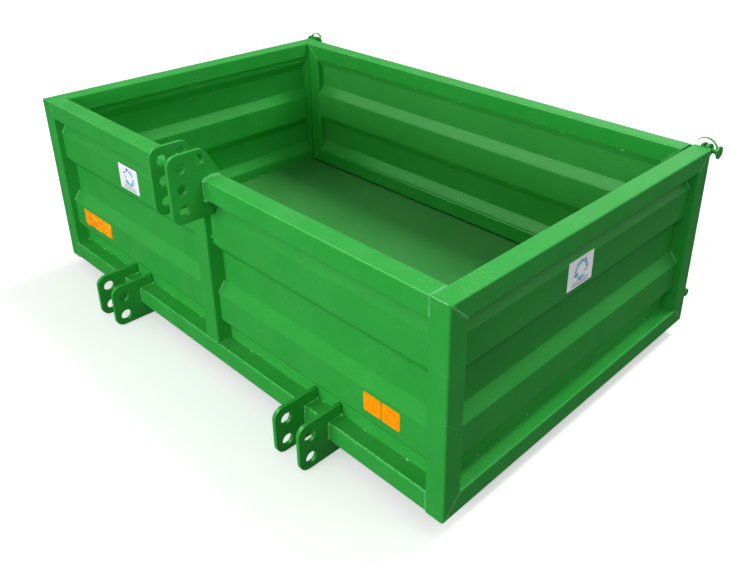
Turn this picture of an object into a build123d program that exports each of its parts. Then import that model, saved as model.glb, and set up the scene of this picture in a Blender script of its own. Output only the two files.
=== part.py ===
from build123d import *
import os

# Rear transport box for a tractor's three-point linkage, in millimetres.
# +X is to the right seen from the tractor, +Y rearwards to the tailgate, +Z up.
# The pieces are drawn from the middle of the hitch face at the bottom of the lower rails,
# and saved with their origin on the ground under the middle of the whole box.

# ---- driving dimensions -------------------------------------------------------------
box_length = 1540.0        # along X, outer faces of the side frames
box_depth = 980.0          # along Y, hitch face to rear face
box_height = 500.0         # bottom of the lower rails to top of the upper rails

tube_size = 50.0           # square tube of every frame member
tube_wall = 3.0
tube_corner_radius = 5.0
tube_inner_radius = 1.5

sheet_thickness = 2.0      # rolled wall sheets
rib_depth = 22.0           # how far a rib stands out from the flats
rib_face_height = 74.0     # flat of a rib
rib_slope_height = 30.0    # each sloping flank
rib_pitch = 213.0          # from one rib to the other
lower_rib_height = 102.0   # middle of the lower rib above the lower rail
sheet_setback = 40.0       # outer face of the flats behind the tube's outer face

floor_thickness = 3.0
floor_edge_gap = 0.5
floor_rear_gap = 2.0

runner_width = 70.0        # two runners under the floor, one behind each lower hitch
runner_height = 40.0
runner_wall = 4.0
runner_end_setback = 12.0

plate_thickness = 10.0     # every hitch plate
plate_reach = 82.0         # from the hitch face to the front edge of a plate
plate_corner_radius = 25.0

lower_hitch_spacing = 786.0      # middle of one lower clevis to the other
lower_clevis_gap = 70.0          # between the two plates of a clevis
lower_bore_diameter = 29.0       # takes a 28.7 mm lower link pin
lower_bore_reach = 51.0          # from the hitch face to the bores
lower_bore_low_height = -12.0    # above the bottom of the lower rail
lower_bore_pitch = 58.0
lower_plate_top = 80.0
lower_plate_sheet_gap = 2.0

top_clevis_gap = 62.0
top_bore_diameter = 26.0         # takes a 25.4 mm top link pin
top_bore_reach = 52.0
top_bore_drop = 58.0             # lowest bore below the top of the rails
top_bore_pitch = 50.0
top_bore_count = 3
rear_bore_reach = 3.0            # fourth bore, over the rail
rear_bore_rise = 51.0            # above the top of the rails
top_plate_rise = 74.0            # above the top of the rails
top_plate_drop = 90.0            # below the top of the rails
top_plate_flat_end = 11.0        # where the top edge turns down to the rail
top_plate_tail_reach = 16.0      # under the rail, towards the sheet

gate_side_gap = 4.0
gate_floor_gap = 4.0
gate_sheet_setback = 2.0         # inner face of the flats behind the tube's inner face
gate_rib_rise = 25.0             # the tailgate's ribs sit this much higher than the walls'

hinge_barrel_diameter = 22.0
gate_barrel_length = 48.0
hinge_height = 80.0
hinge_pin_diameter = 14.0
hinge_fixed_clearance = 0.03     # pin in the post barrel
hinge_running_clearance = 0.08   # tailgate barrel on the pin
hinge_end_gap = 1.0
hinge_pin_head_diameter = 20.0
hinge_pin_head_thickness = 4.0

lock_pin_diameter = 12.0
lock_running_clearance = 0.10
lock_reach = 20.0                # pin axis behind the rear face
lock_depth = 12.0                # pin axis below the top of the rails
lock_lug_thickness = 8.0
lock_lug_radius = 17.0
lock_lug_setback = 10.0          # outer face of the post lug from the side face
lock_tab_thickness = 6.0
lock_tab_gap = 7.0               # between the post lug and the tailgate's tab
lock_strap_thickness = 6.0
lock_strap_height = 16.0
lock_strap_hold = 60.0           # how much of the strap lies on the tailgate
lock_strap_relief = 0.4          # strap clear of the post it closes against
lock_tip_gap = 1.0               # drawn pin clear of the tab
lock_tip_chamfer = 1.5
lock_disc_diameter = 33.0
lock_disc_thickness = 4.0
lock_disc_standoff = 9.5         # drawn disc outside the side face
clip_disc_gap = 1.0
clip_arc_radius = 30.0
clip_arc_start = 17.0            # degrees up from the pin's axis
clip_arc_end = 140.0
clip_width = 8.0
clip_thickness = 2.0
clip_collar_diameter = 17.0
clip_collar_length = 5.0
clip_collar_clearance = 0.03

reflector_width = 50.0
reflector_height = 46.0
reflector_gap = 3.0
reflector_thickness = 1.2
reflector_rise = 6.0             # middle of a reflector above the middle of the rib
right_reflector_post_gap = 84.0  # from the corner post to the nearest reflector
right_reflector_count = 2
left_reflector_post_gap = 55.0
left_reflector_count = 3
label_width = 94.0
label_height = 70.0
label_thickness = 0.6
label_rise = 9.0                 # middle of a label above the middle of the rib
front_label_post_gap = 322.0
side_label_post_gap = 345.0

# ---- derived dimensions ---------------------------------------------------------------
half_length = box_length / 2
inner_half_length = half_length - tube_size
corner_x = half_length - tube_size / 2
rail_top = tube_size
top_rail_bottom = box_height - tube_size
rear_inner_face = box_depth - tube_size
floor_top = rail_top + floor_thickness
ground = -runner_height

gate_half_width = inner_half_length - gate_side_gap
gate_bottom = floor_top + gate_floor_gap
gate_window_bottom = gate_bottom + tube_size
gate_window_half_width = gate_half_width - tube_size

hinge_axis_y = box_depth + hinge_barrel_diameter / 2
lock_axis_y = box_depth + lock_reach
lock_axis_z = box_height - lock_depth
lock_lug_outer = half_length - lock_lug_setback
lock_lug_inner = lock_lug_outer - lock_lug_thickness
lock_tab_outer = lock_lug_inner - lock_tab_gap
lock_tab_inner = lock_tab_outer - lock_tab_thickness
lock_disc_inner = half_length + lock_disc_standoff
rib_outer_face = sheet_setback - rib_depth
top_plate_top = box_height + top_plate_rise
top_plate_bottom = box_height - top_plate_drop
middle_y = (lock_axis_y + lock_lug_radius - plate_reach) / 2


def save(shape, name):
    """Writes one node, moved so that the origin is on the ground under the middle."""
    placed = Pos(0, -middle_y, -ground) * shape
    placed.label = name
    export_step(placed, f"parts/{name}.step")


def block(low, high):
    """A box between two corners."""
    size = [b - a for a, b in zip(low, high)]
    middle = [(a + b) / 2 for a, b in zip(low, high)]
    return Pos(*middle) * Box(*size)


def mirrored(shape):
    """The same piece on the other side of the box."""
    return mirror(shape, about=Plane.YZ)


def square_tube(length, width=tube_size, height=tube_size, wall=tube_wall):
    """A hollow tube along +Z from the origin, centred on it."""
    with BuildPart() as tube:
        with BuildSketch():
            RectangleRounded(width, height, tube_corner_radius)
            RectangleRounded(width - 2 * wall, height - 2 * wall, tube_inner_radius, mode=Mode.SUBTRACT)
        extrude(amount=length)
    return tube.part


def tube_along(axis, start, end, middle):
    """A square tube along X, Y or Z between two stations, its centre line at middle."""
    tube = square_tube(end - start)
    if axis == "X":
        return Pos(start, *middle) * Rot(0, 90, 0) * tube
    if axis == "Y":
        return Pos(middle[0], end, middle[1]) * Rot(90, 0, 0) * tube
    return Pos(middle[0], middle[1], start) * tube


def mitred(member, plane, outer_corners, inner_corners):
    """Cuts both ends of a member along the lines from its outer to its inner corners.

    The corners are two (u, z) pairs each, in the plane's coordinates. The member is kept
    only inside the band between the two cutting lines.
    """
    reach = 0.5
    starts = [(o[0] + reach * (o[0] - i[0]), o[1] + reach * (o[1] - i[1]))
              for o, i in zip(outer_corners, inner_corners)]
    ends = [(i[0] - reach * (o[0] - i[0]), i[1] - reach * (o[1] - i[1]))
            for o, i in zip(outer_corners, inner_corners)]
    with BuildPart() as band:
        with BuildSketch(plane):
            with BuildLine():
                Polyline(starts[0], starts[1], ends[1], ends[0], close=True)
            make_face()
        extrude(amount=tube_size, both=True)
    return member & band.part


def mitred_frame(along, low, high, cross):
    """The four mitred members of one rectangular tube frame.

    along is "Y" for a side frame and "X" for the tailgate, low and high are its outer
    corners (u, z), and cross is its centre plane's place on the other axis.
    """
    if along == "Y":
        plane = Plane(origin=(cross, 0, 0), x_dir=(0, 1, 0), z_dir=(1, 0, 0))
    else:
        plane = Plane(origin=(0, cross, 0), x_dir=(1, 0, 0), z_dir=(0, -1, 0))
    half = tube_size / 2
    left, bottom = low
    right, top = high
    outer = {"low_left": (left, bottom), "low_right": (right, bottom),
             "high_left": (left, top), "high_right": (right, top)}
    inner = {"low_left": (left + tube_size, bottom + tube_size),
             "low_right": (right - tube_size, bottom + tube_size),
             "high_left": (left + tube_size, top - tube_size),
             "high_right": (right - tube_size, top - tube_size)}

    def rail(height, ends):
        member = tube_along(along, left, right, (cross, height))
        return mitred(member, plane, [outer[e] for e in ends], [inner[e] for e in ends])

    def post(place, ends):
        middle = (cross, place) if along == "Y" else (place, cross)
        member = tube_along("Z", bottom, top, middle)
        return mitred(member, plane, [outer[e] for e in ends], [inner[e] for e in ends])

    return {
        "top": rail(top - half, ("high_left", "high_right")),
        "bottom": rail(bottom + half, ("low_left", "low_right")),
        "first_post": post(left + half, ("low_left", "high_left")),
        "second_post": post(right - half, ("low_right", "high_right")),
    }


def sheet_profile(bottom, top, rib_middles, flat, rib):
    """Points (depth, height) of one face of a rolled sheet, from bottom to top.

    flat and rib are the depths of that face on the flats and on the ribs.
    """
    half_face = rib_face_height / 2
    half_rib = half_face + rib_slope_height
    points = [(flat, min(bottom, rib_middles[0] - half_rib) - rib_depth)]
    for middle in rib_middles:
        points += [(flat, middle - half_rib), (rib, middle - half_face),
                   (rib, middle + half_face), (flat, middle + half_rib)]
    points.append((flat, max(top, rib_middles[-1] + half_rib) + rib_depth))
    return points


def rolled_sheet(length, bottom, top, rib_middles, flat, rib, inner_step):
    """A rolled sheet along +Y of length, depth along X; inner_step is the thickness inwards.

    The profile runs past both ends of the window and is cut off at bottom and top.
    """
    outer = sheet_profile(bottom, top, rib_middles, flat, rib)
    inner = sheet_profile(bottom, top, rib_middles, flat + inner_step, rib + inner_step)
    with BuildPart() as sheet:
        with BuildSketch(Plane.XZ):
            with BuildLine():
                Polyline(*outer, *reversed(inner), close=True)
            make_face()
        extrude(amount=-length)
    deepest = max(flat, rib) + inner_step
    return sheet.part & block((min(flat, rib) - rib_depth, 0, bottom), (deepest + rib_depth, length, top))


wall_rib_middles = [rail_top + lower_rib_height, rail_top + lower_rib_height + rib_pitch]
gate_rib_middles = [z + gate_rib_rise for z in wall_rib_middles]
label_middle = min(wall_rib_middles[1] + label_rise, top_rail_bottom - label_height / 2)


def side_sheet():
    """Wall sheet of the right side frame, between its posts and rails."""
    sheet = rolled_sheet(rear_inner_face - tube_size, rail_top, top_rail_bottom, wall_rib_middles,
                         sheet_setback, rib_outer_face, sheet_thickness)
    return mirrored(Pos(-half_length, tube_size, 0) * sheet)


def front_sheet():
    """Right half of the front wall, between the middle post and the corner post."""
    sheet = rolled_sheet(inner_half_length - tube_size / 2, rail_top, top_rail_bottom, wall_rib_middles,
                         sheet_setback, rib_outer_face, sheet_thickness)
    return Pos(inner_half_length, 0, 0) * Rot(0, 0, 90) * sheet


def gate_sheet():
    """Tailgate sheet: its flats lie just behind the tubes' inner face, its ribs stand out rearwards."""
    flat_inner = rear_inner_face + gate_sheet_setback
    sheet = rolled_sheet(2 * gate_window_half_width, gate_window_bottom, top_rail_bottom, gate_rib_middles,
                         flat_inner, flat_inner + rib_depth, sheet_thickness)
    return Pos(gate_window_half_width, 0, 0) * Rot(0, 0, 90) * sheet


def floor_sheet():
    """Flat floor on the lower rails, inside the wall sheets."""
    edge = sheet_setback + sheet_thickness + floor_edge_gap
    floor = block((-half_length + edge, edge, rail_top),
                  (half_length - edge, box_depth - floor_rear_gap, floor_top))
    notches = [(-corner_x, 0), (0, 0), (corner_x, 0),
               (-corner_x, rear_inner_face), (corner_x, rear_inner_face)]
    reach = tube_size / 2 + floor_edge_gap
    for x, front in notches:
        floor -= block((x - reach, front - floor_edge_gap, rail_top),
                       (x + reach, front + tube_size + floor_edge_gap, floor_top))
    return floor


def runner():
    """Right-hand runner under the floor, behind the lower hitch."""
    length = box_depth - 2 * runner_end_setback
    tube = square_tube(length, runner_width, runner_height, runner_wall)
    return Pos(lower_hitch_spacing / 2, box_depth - runner_end_setback, ground / 2) * Rot(90, 0, 0) * tube


def plate_with_bores(outline, radius_by_point, bores, bore_diameter, inner_face):
    """A hitch plate across X, from an outline in (y, z) with some corners rounded."""
    with BuildPart() as plate:
        with BuildSketch(Plane(origin=(inner_face, 0, 0), x_dir=(0, 1, 0), z_dir=(1, 0, 0))) as face:
            with BuildLine():
                Polyline(*outline, close=True)
            make_face()
            for point, radius in radius_by_point:
                corner = face.vertices().sort_by_distance(Vector(*point, 0))[0]
                fillet(corner, radius)
            with Locations(*bores):
                Circle(bore_diameter / 2, mode=Mode.SUBTRACT)
        extrude(amount=plate_thickness)
    return plate.part


def lower_bores():
    """Centres (y, z) of the two bores of a lower hitch plate."""
    return [(-lower_bore_reach, lower_bore_low_height + i * lower_bore_pitch) for i in range(2)]


def lower_plate(inner_face):
    """A lower hitch plate, notched to fit over the bottom rail."""
    sheet_end = sheet_setback - lower_plate_sheet_gap
    outline = [(-plate_reach, ground), (tube_size, ground), (tube_size, 0), (0, 0), (0, rail_top),
               (sheet_end, rail_top), (sheet_end, lower_plate_top), (-plate_reach, lower_plate_top)]
    rounded = [(outline[0], plate_corner_radius), (outline[-1], plate_corner_radius)]
    return plate_with_bores(outline, rounded, lower_bores(), lower_bore_diameter, inner_face)


def top_bores():
    """Centres (y, z) of the four bores of a top link plate."""
    lowest = box_height - top_bore_drop
    column = [(-top_bore_reach, lowest + i * top_bore_pitch) for i in range(top_bore_count)]
    return column + [(-rear_bore_reach, box_height + rear_bore_rise)]


def top_plate(inner_face):
    """A top link plate, notched to fit over the front top rail."""
    outline = [(-plate_reach, top_plate_bottom), (top_plate_tail_reach, top_plate_bottom),
               (top_plate_tail_reach, top_rail_bottom), (0, top_rail_bottom), (0, box_height),
               (tube_size, box_height), (top_plate_flat_end, top_plate_top), (-plate_reach, top_plate_top)]
    rounded = [(outline[0], plate_corner_radius), (outline[6], plate_corner_radius),
               (outline[7], plate_corner_radius)]
    return plate_with_bores(outline, rounded, top_bores(), top_bore_diameter, inner_face)


def cylinder_x(start, end, diameter, axis_y, axis_z):
    """A round bar along X between two stations."""
    return Pos((start + end) / 2, axis_y, axis_z) * Rot(0, 90, 0) * Cylinder(diameter / 2, end - start)


def barrel(start, end, clearance):
    """A hinge barrel along X between two stations, bored for the hinge pin."""
    tube = cylinder_x(start, end, hinge_barrel_diameter, hinge_axis_y, hinge_height)
    return tube - cylinder_x(start, end, hinge_pin_diameter + 2 * clearance, hinge_axis_y, hinge_height)


post_barrel_start = inner_half_length + hinge_end_gap
post_barrel_end = half_length - hinge_end_gap
gate_barrel_end = gate_half_width
gate_barrel_start = gate_barrel_end - gate_barrel_length


def hinge_pin():
    """Right hinge pin, through both barrels, with a round head at its inner end."""
    head_outer = gate_barrel_start - hinge_end_gap
    head_inner = head_outer - hinge_pin_head_thickness
    shank = cylinder_x(head_outer, post_barrel_end, hinge_pin_diameter, hinge_axis_y, hinge_height)
    head = cylinder_x(head_inner, head_outer, hinge_pin_head_diameter, hinge_axis_y, hinge_height)
    return shank + head


def lug_face(inner_face, thickness, front):
    """A round-ended lug across X, from the rear face to round the lock pin's axis."""
    with BuildPart() as lug:
        with BuildSketch(Plane(origin=(inner_face, 0, 0), x_dir=(0, 1, 0), z_dir=(1, 0, 0))):
            with Locations((lock_axis_y, lock_axis_z)):
                Circle(lock_lug_radius)
            with Locations(((front + lock_axis_y) / 2, lock_axis_z)):
                Rectangle(lock_axis_y - front, 2 * lock_lug_radius)
            with Locations((lock_axis_y, lock_axis_z)):
                Circle(lock_pin_diameter / 2 + lock_running_clearance, mode=Mode.SUBTRACT)
        extrude(amount=thickness)
    return lug.part


def post_lock_lug():
    """Right lug on the rear post, which carries the lock pin."""
    return lug_face(lock_lug_inner, lock_lug_thickness, box_depth)


def gate_lock_tab():
    """Right strap and tab on the tailgate: the strap closes against the post, the tab takes the pin."""
    clear_face = box_depth + lock_strap_relief
    tab = lug_face(lock_tab_inner, lock_tab_thickness, clear_face)
    strap = block((gate_half_width - lock_strap_hold, box_depth, lock_axis_z - lock_strap_height / 2),
                  (lock_tab_inner, box_depth + lock_strap_thickness, lock_axis_z + lock_strap_height / 2))
    strap -= block((gate_half_width, box_depth - tube_size, lock_axis_z - lock_strap_height),
                   (half_length, clear_face, lock_axis_z + lock_strap_height))
    return tab + strap


lock_tip = lock_tab_outer + lock_tip_gap


def lock_pin():
    """Right lock pin, drawn: disc head outside, tip just clear of the tailgate's tab."""
    disc_outer = lock_disc_inner + lock_disc_thickness
    shank = cylinder_x(lock_tip, lock_disc_inner, lock_pin_diameter, lock_axis_y, lock_axis_z)
    disc = cylinder_x(lock_disc_inner, disc_outer, lock_disc_diameter, lock_axis_y, lock_axis_z)
    pin = shank + disc
    tip_edge = pin.edges().filter_by(GeomType.CIRCLE).sort_by(Axis.X)[0]
    return chamfer(tip_edge, lock_tip_chamfer)


clip_collar_outer = lock_disc_inner - clip_disc_gap
clip_collar_middle = clip_collar_outer - clip_collar_length / 2
clip_centre_x = clip_collar_middle - clip_arc_radius


def lock_pin_clip():
    """Right spring clip: a collar tight on the pin and a flat strip arched over the lug and the tab."""
    collar_inner = clip_collar_outer - clip_collar_length
    collar = cylinder_x(collar_inner, clip_collar_outer, clip_collar_diameter, lock_axis_y, lock_axis_z)
    sweep = clip_arc_end - clip_arc_start
    with BuildPart() as strip:
        with BuildSketch(Plane.XZ.offset(-lock_axis_y - clip_width / 2)):
            with BuildLine():
                centre = (clip_centre_x, lock_axis_z)
                outer = CenterArc(centre, clip_arc_radius + clip_thickness / 2, clip_arc_start, sweep)
                inner = CenterArc(centre, clip_arc_radius - clip_thickness / 2, clip_arc_start, sweep)
                Line(outer @ 0, inner @ 0)
                Line(outer @ 1, inner @ 1)
            make_face()
        extrude(amount=clip_width)
    bore_diameter = lock_pin_diameter + 2 * clip_collar_clearance
    bore_inner = collar_inner - clip_arc_radius
    bore = cylinder_x(bore_inner, clip_collar_outer, bore_diameter, lock_axis_y, lock_axis_z)
    return collar + strip.part - bore


def reflectors(count, post_gap):
    """A row of amber reflectors on the lower rib of the front wall, at its right end."""
    row = []
    low_z = wall_rib_middles[0] + reflector_rise - reflector_height / 2
    for i in range(count):
        high_x = inner_half_length - post_gap - i * (reflector_width + reflector_gap)
        row.append(block((high_x - reflector_width, rib_outer_face - reflector_thickness, low_z),
                         (high_x, rib_outer_face, low_z + reflector_height)))
    return Compound(children=row)


def front_label():
    """Blank label on the upper rib at the left of the front wall."""
    low_x = -inner_half_length + front_label_post_gap
    low_z = label_middle - label_height / 2
    return block((low_x, rib_outer_face - label_thickness, low_z),
                 (low_x + label_width, rib_outer_face, low_z + label_height))


def side_label():
    """Blank label on the upper rib of the right side wall."""
    low_y = tube_size + side_label_post_gap
    low_z = label_middle - label_height / 2
    face = half_length - rib_outer_face
    return block((face, low_y, low_z), (face + label_thickness, low_y + label_width, low_z + label_height))


def main():
    os.makedirs("parts", exist_ok=True)

    side = mitred_frame("Y", (0, 0), (box_depth, box_height), corner_x)
    sided = {
        "top_rail": side["top"],
        "bottom_rail": side["bottom"],
        "front_post": side["first_post"],
        "rear_post": side["second_post"],
        "wall_sheet": side_sheet(),
        "front_sheet": front_sheet(),
        "runner": runner(),
        "inner_hitch_plate": lower_plate(lower_hitch_spacing / 2 - lower_clevis_gap / 2 - plate_thickness),
        "outer_hitch_plate": lower_plate(lower_hitch_spacing / 2 + lower_clevis_gap / 2),
        "top_link_plate": top_plate(top_clevis_gap / 2),
        "post_hinge_barrel": barrel(post_barrel_start, post_barrel_end, hinge_fixed_clearance),
        "gate_hinge_barrel": barrel(gate_barrel_start, gate_barrel_end, hinge_running_clearance),
        "hinge_pin": hinge_pin(),
        "post_lock_lug": post_lock_lug(),
        "gate_lock_tab": gate_lock_tab(),
        "lock_pin": lock_pin(),
        "lock_pin_clip": lock_pin_clip(),
    }
    for name, shape in sided.items():
        save(shape, f"right_{name}")
        save(mirrored(shape), f"left_{name}")

    half = tube_size / 2
    save(tube_along("X", -inner_half_length, inner_half_length, (half, box_height - half)), "front_top_rail")
    save(tube_along("X", -inner_half_length, inner_half_length, (half, half)), "front_bottom_rail")
    save(tube_along("Z", rail_top, top_rail_bottom, (0, half)), "front_middle_post")
    save(tube_along("X", -inner_half_length, inner_half_length, (box_depth - half, half)), "rear_sill")
    save(tube_along("X", -inner_half_length, inner_half_length, (box_depth / 2, half)), "floor_crossmember")
    save(floor_sheet(), "floor_sheet")
    save(reflectors(right_reflector_count, right_reflector_post_gap), "right_reflectors")
    save(mirrored(reflectors(left_reflector_count, left_reflector_post_gap)), "left_reflectors")
    save(front_label(), "front_label")
    save(side_label(), "side_label")

    gate = mitred_frame("X", (-gate_half_width, gate_bottom), (gate_half_width, box_height),
                        rear_inner_face + half)
    save(gate["top"], "gate_top_rail")
    save(gate["bottom"], "gate_bottom_rail")
    save(gate["first_post"], "gate_left_stile")
    save(gate["second_post"], "gate_right_stile")
    save(gate_sheet(), "gate_sheet")


main()
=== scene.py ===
"""Looks of a rear transport box for a tractor's three-point linkage.

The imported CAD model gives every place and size. This script rounds the rolled sheets and
the hitch plates, lays the weld beads, films and labels on them, and paints everything.
"""
import logging
import math
from dataclasses import dataclass, field
from enum import Enum
from typing import Dict, List, Optional, Sequence, Tuple

import bmesh
import bpy
import numpy as np
from mathutils import Matrix, Vector


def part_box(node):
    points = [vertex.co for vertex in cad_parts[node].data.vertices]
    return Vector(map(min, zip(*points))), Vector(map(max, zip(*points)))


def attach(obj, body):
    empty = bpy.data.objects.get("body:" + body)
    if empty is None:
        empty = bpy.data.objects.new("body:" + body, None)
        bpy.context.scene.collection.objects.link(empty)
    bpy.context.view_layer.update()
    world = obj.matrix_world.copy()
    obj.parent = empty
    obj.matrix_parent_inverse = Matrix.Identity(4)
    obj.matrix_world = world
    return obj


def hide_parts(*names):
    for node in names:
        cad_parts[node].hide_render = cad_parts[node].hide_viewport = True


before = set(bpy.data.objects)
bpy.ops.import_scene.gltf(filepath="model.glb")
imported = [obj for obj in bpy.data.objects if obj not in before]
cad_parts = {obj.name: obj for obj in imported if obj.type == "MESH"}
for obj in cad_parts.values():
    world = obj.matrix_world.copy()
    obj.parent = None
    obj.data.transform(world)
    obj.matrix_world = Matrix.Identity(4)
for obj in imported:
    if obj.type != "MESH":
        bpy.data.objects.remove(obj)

logging.basicConfig(level=logging.INFO, format="%(message)s")
log = logging.getLogger("transport_box")

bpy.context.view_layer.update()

Array = np.ndarray
Vec3 = Tuple[float, float, float]
Band = Tuple[float, float, float, float]

# The box's own directions: x is its right-hand side, y its rear and z up.
X_AXIS: Vec3 = (1.0, 0.0, 0.0)
BACK: Vec3 = (0.0, 1.0, 0.0)
AHEAD: Vec3 = (0.0, -1.0, 0.0)
UP: Vec3 = (0.0, 0.0, 1.0)
DOWN: Vec3 = (0.0, 0.0, -1.0)
AHEAD_UP: Vec3 = (0.0, -0.7, 0.7)

UV_NAME = "film"


class Side(Enum):
    """Which side of the box a piece is on, as the sign of its x."""

    LEFT = -1
    RIGHT = 1

    @property
    def word(self) -> str:
        """The side's name as the CAD nodes begin with it."""
        return self.name.lower()

    def nodes(self, *parts: str) -> List[str]:
        """Names of the CAD nodes of this side's parts."""
        return [f"{self.word}_{part}" for part in parts]


class Body(Enum):
    """The CAD bodies that pieces ride on."""

    BOX = "box"
    TAILGATE = "tailgate"


class Slot(Enum):
    """The record's material slots."""

    PAINT = "green_paint"
    AMBER = "amber_reflector"
    LABEL = "label_film"


# ---- meshes ---------------------------------------------------------------------------


@dataclass
class Shell:
    """Vertices and quads of a surface that grows by whole arrays.

    Attributes:
        points: (n, 3) vertex places in metres.
        quads: (m, 4) vertex numbers of the faces.
    """

    points: Array = field(default_factory=lambda: np.zeros((0, 3)))
    quads: Array = field(default_factory=lambda: np.zeros((0, 4), dtype=np.int64))

    def add(self, points: Array, quads: Array) -> None:
        """Joins another surface on, without welding it.

        Args:
            points: (n, 3) places.
            quads: (m, 4) faces, numbered from the first of points.
        """
        self.quads = np.vstack([self.quads, quads + len(self.points)])
        self.points = np.vstack([self.points, points])


def grid_quads(rows: int, columns: int, wrap: bool = False) -> Array:
    """Faces of a grid of points numbered row by row.

    Args:
        rows: number of rows of points.
        columns: number of points in a row.
        wrap: whether the last column joins the first.

    Returns:
        (m, 4) vertex numbers.
    """
    last = columns if wrap else columns - 1
    row, column = np.meshgrid(np.arange(rows - 1), np.arange(last), indexing="ij")
    here = row * columns + column
    beside = row * columns + (column + 1) % columns
    return np.stack([here, beside, beside + columns, here + columns], axis=-1).reshape(-1, 4)


def ripple_noise(along: Array, seed: int, wavelength: float) -> Array:
    """Smooth noise between about -1 and 1: a sum of five sines with seeded phases.

    Args:
        along: places along the line, in metres.
        seed: number that fixes the phases.
        wavelength: the longest wave, in metres.

    Returns:
        One value for each place.
    """
    stretch, peak = 1.13, 1.6
    rng = np.random.default_rng(seed)
    orders = np.arange(1, 6)
    phases = rng.uniform(0, 2 * np.pi, len(orders))
    waves = np.sin(2 * np.pi * along[..., None] * orders * stretch / wavelength + phases)
    return (waves / orders).sum(axis=-1) / peak


def smooth_shading(mesh: bpy.types.Mesh, sharp_degrees: float) -> None:
    """Shades a mesh smooth, except at edges that turn more than sharp_degrees."""
    mesh.polygons.foreach_set("use_smooth", np.ones(len(mesh.polygons), dtype=bool))
    mesh.set_sharp_from_angle(angle=math.radians(sharp_degrees))


def turn_outwards(mesh: bpy.types.Mesh) -> None:
    """Turns the faces of a closed mesh outwards.

    Args:
        mesh: the mesh.
    """
    work = bmesh.new()
    work.from_mesh(mesh)
    bmesh.ops.recalc_face_normals(work, faces=work.faces)
    work.to_mesh(mesh)
    work.free()
    mesh.update()


def register(piece: bpy.types.Object, body: Body) -> None:
    """Puts a piece in the scene and hangs it on the body that it rides on.

    Args:
        piece: the piece.
        body: its body.
    """
    bpy.context.scene.collection.objects.link(piece)
    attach(piece, body.value)


def new_piece(name: str, shell: Shell, material: bpy.types.Material, body: Body,
              sharp_degrees: float, stands_for: Optional[str] = None) -> bpy.types.Object:
    """Makes a finished piece from a closed surface, with its place in its mesh.

    Args:
        name: the piece's name.
        shell: its surface.
        material: its finish.
        body: the CAD body that it rides on.
        sharp_degrees: edges that turn more than this stay sharp.
        stands_for: the CAD node that it replaces, if any.

    Returns:
        The new object.
    """
    mesh = bpy.data.meshes.new(name)
    mesh.from_pydata(shell.points.tolist(), [], shell.quads.tolist())
    mesh.materials.append(material)
    smooth_shading(mesh, sharp_degrees)
    turn_outwards(mesh)
    piece = bpy.data.objects.new(name, mesh)
    register(piece, body)
    if stands_for is not None:
        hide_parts(stands_for)
    return piece


def node_box(node: str) -> Tuple[Array, Array]:
    """Lowest and highest corner of a CAD node, as arrays in metres."""
    low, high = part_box(node)
    return np.array(low), np.array(high)


# ---- shader helpers -------------------------------------------------------------------


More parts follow.
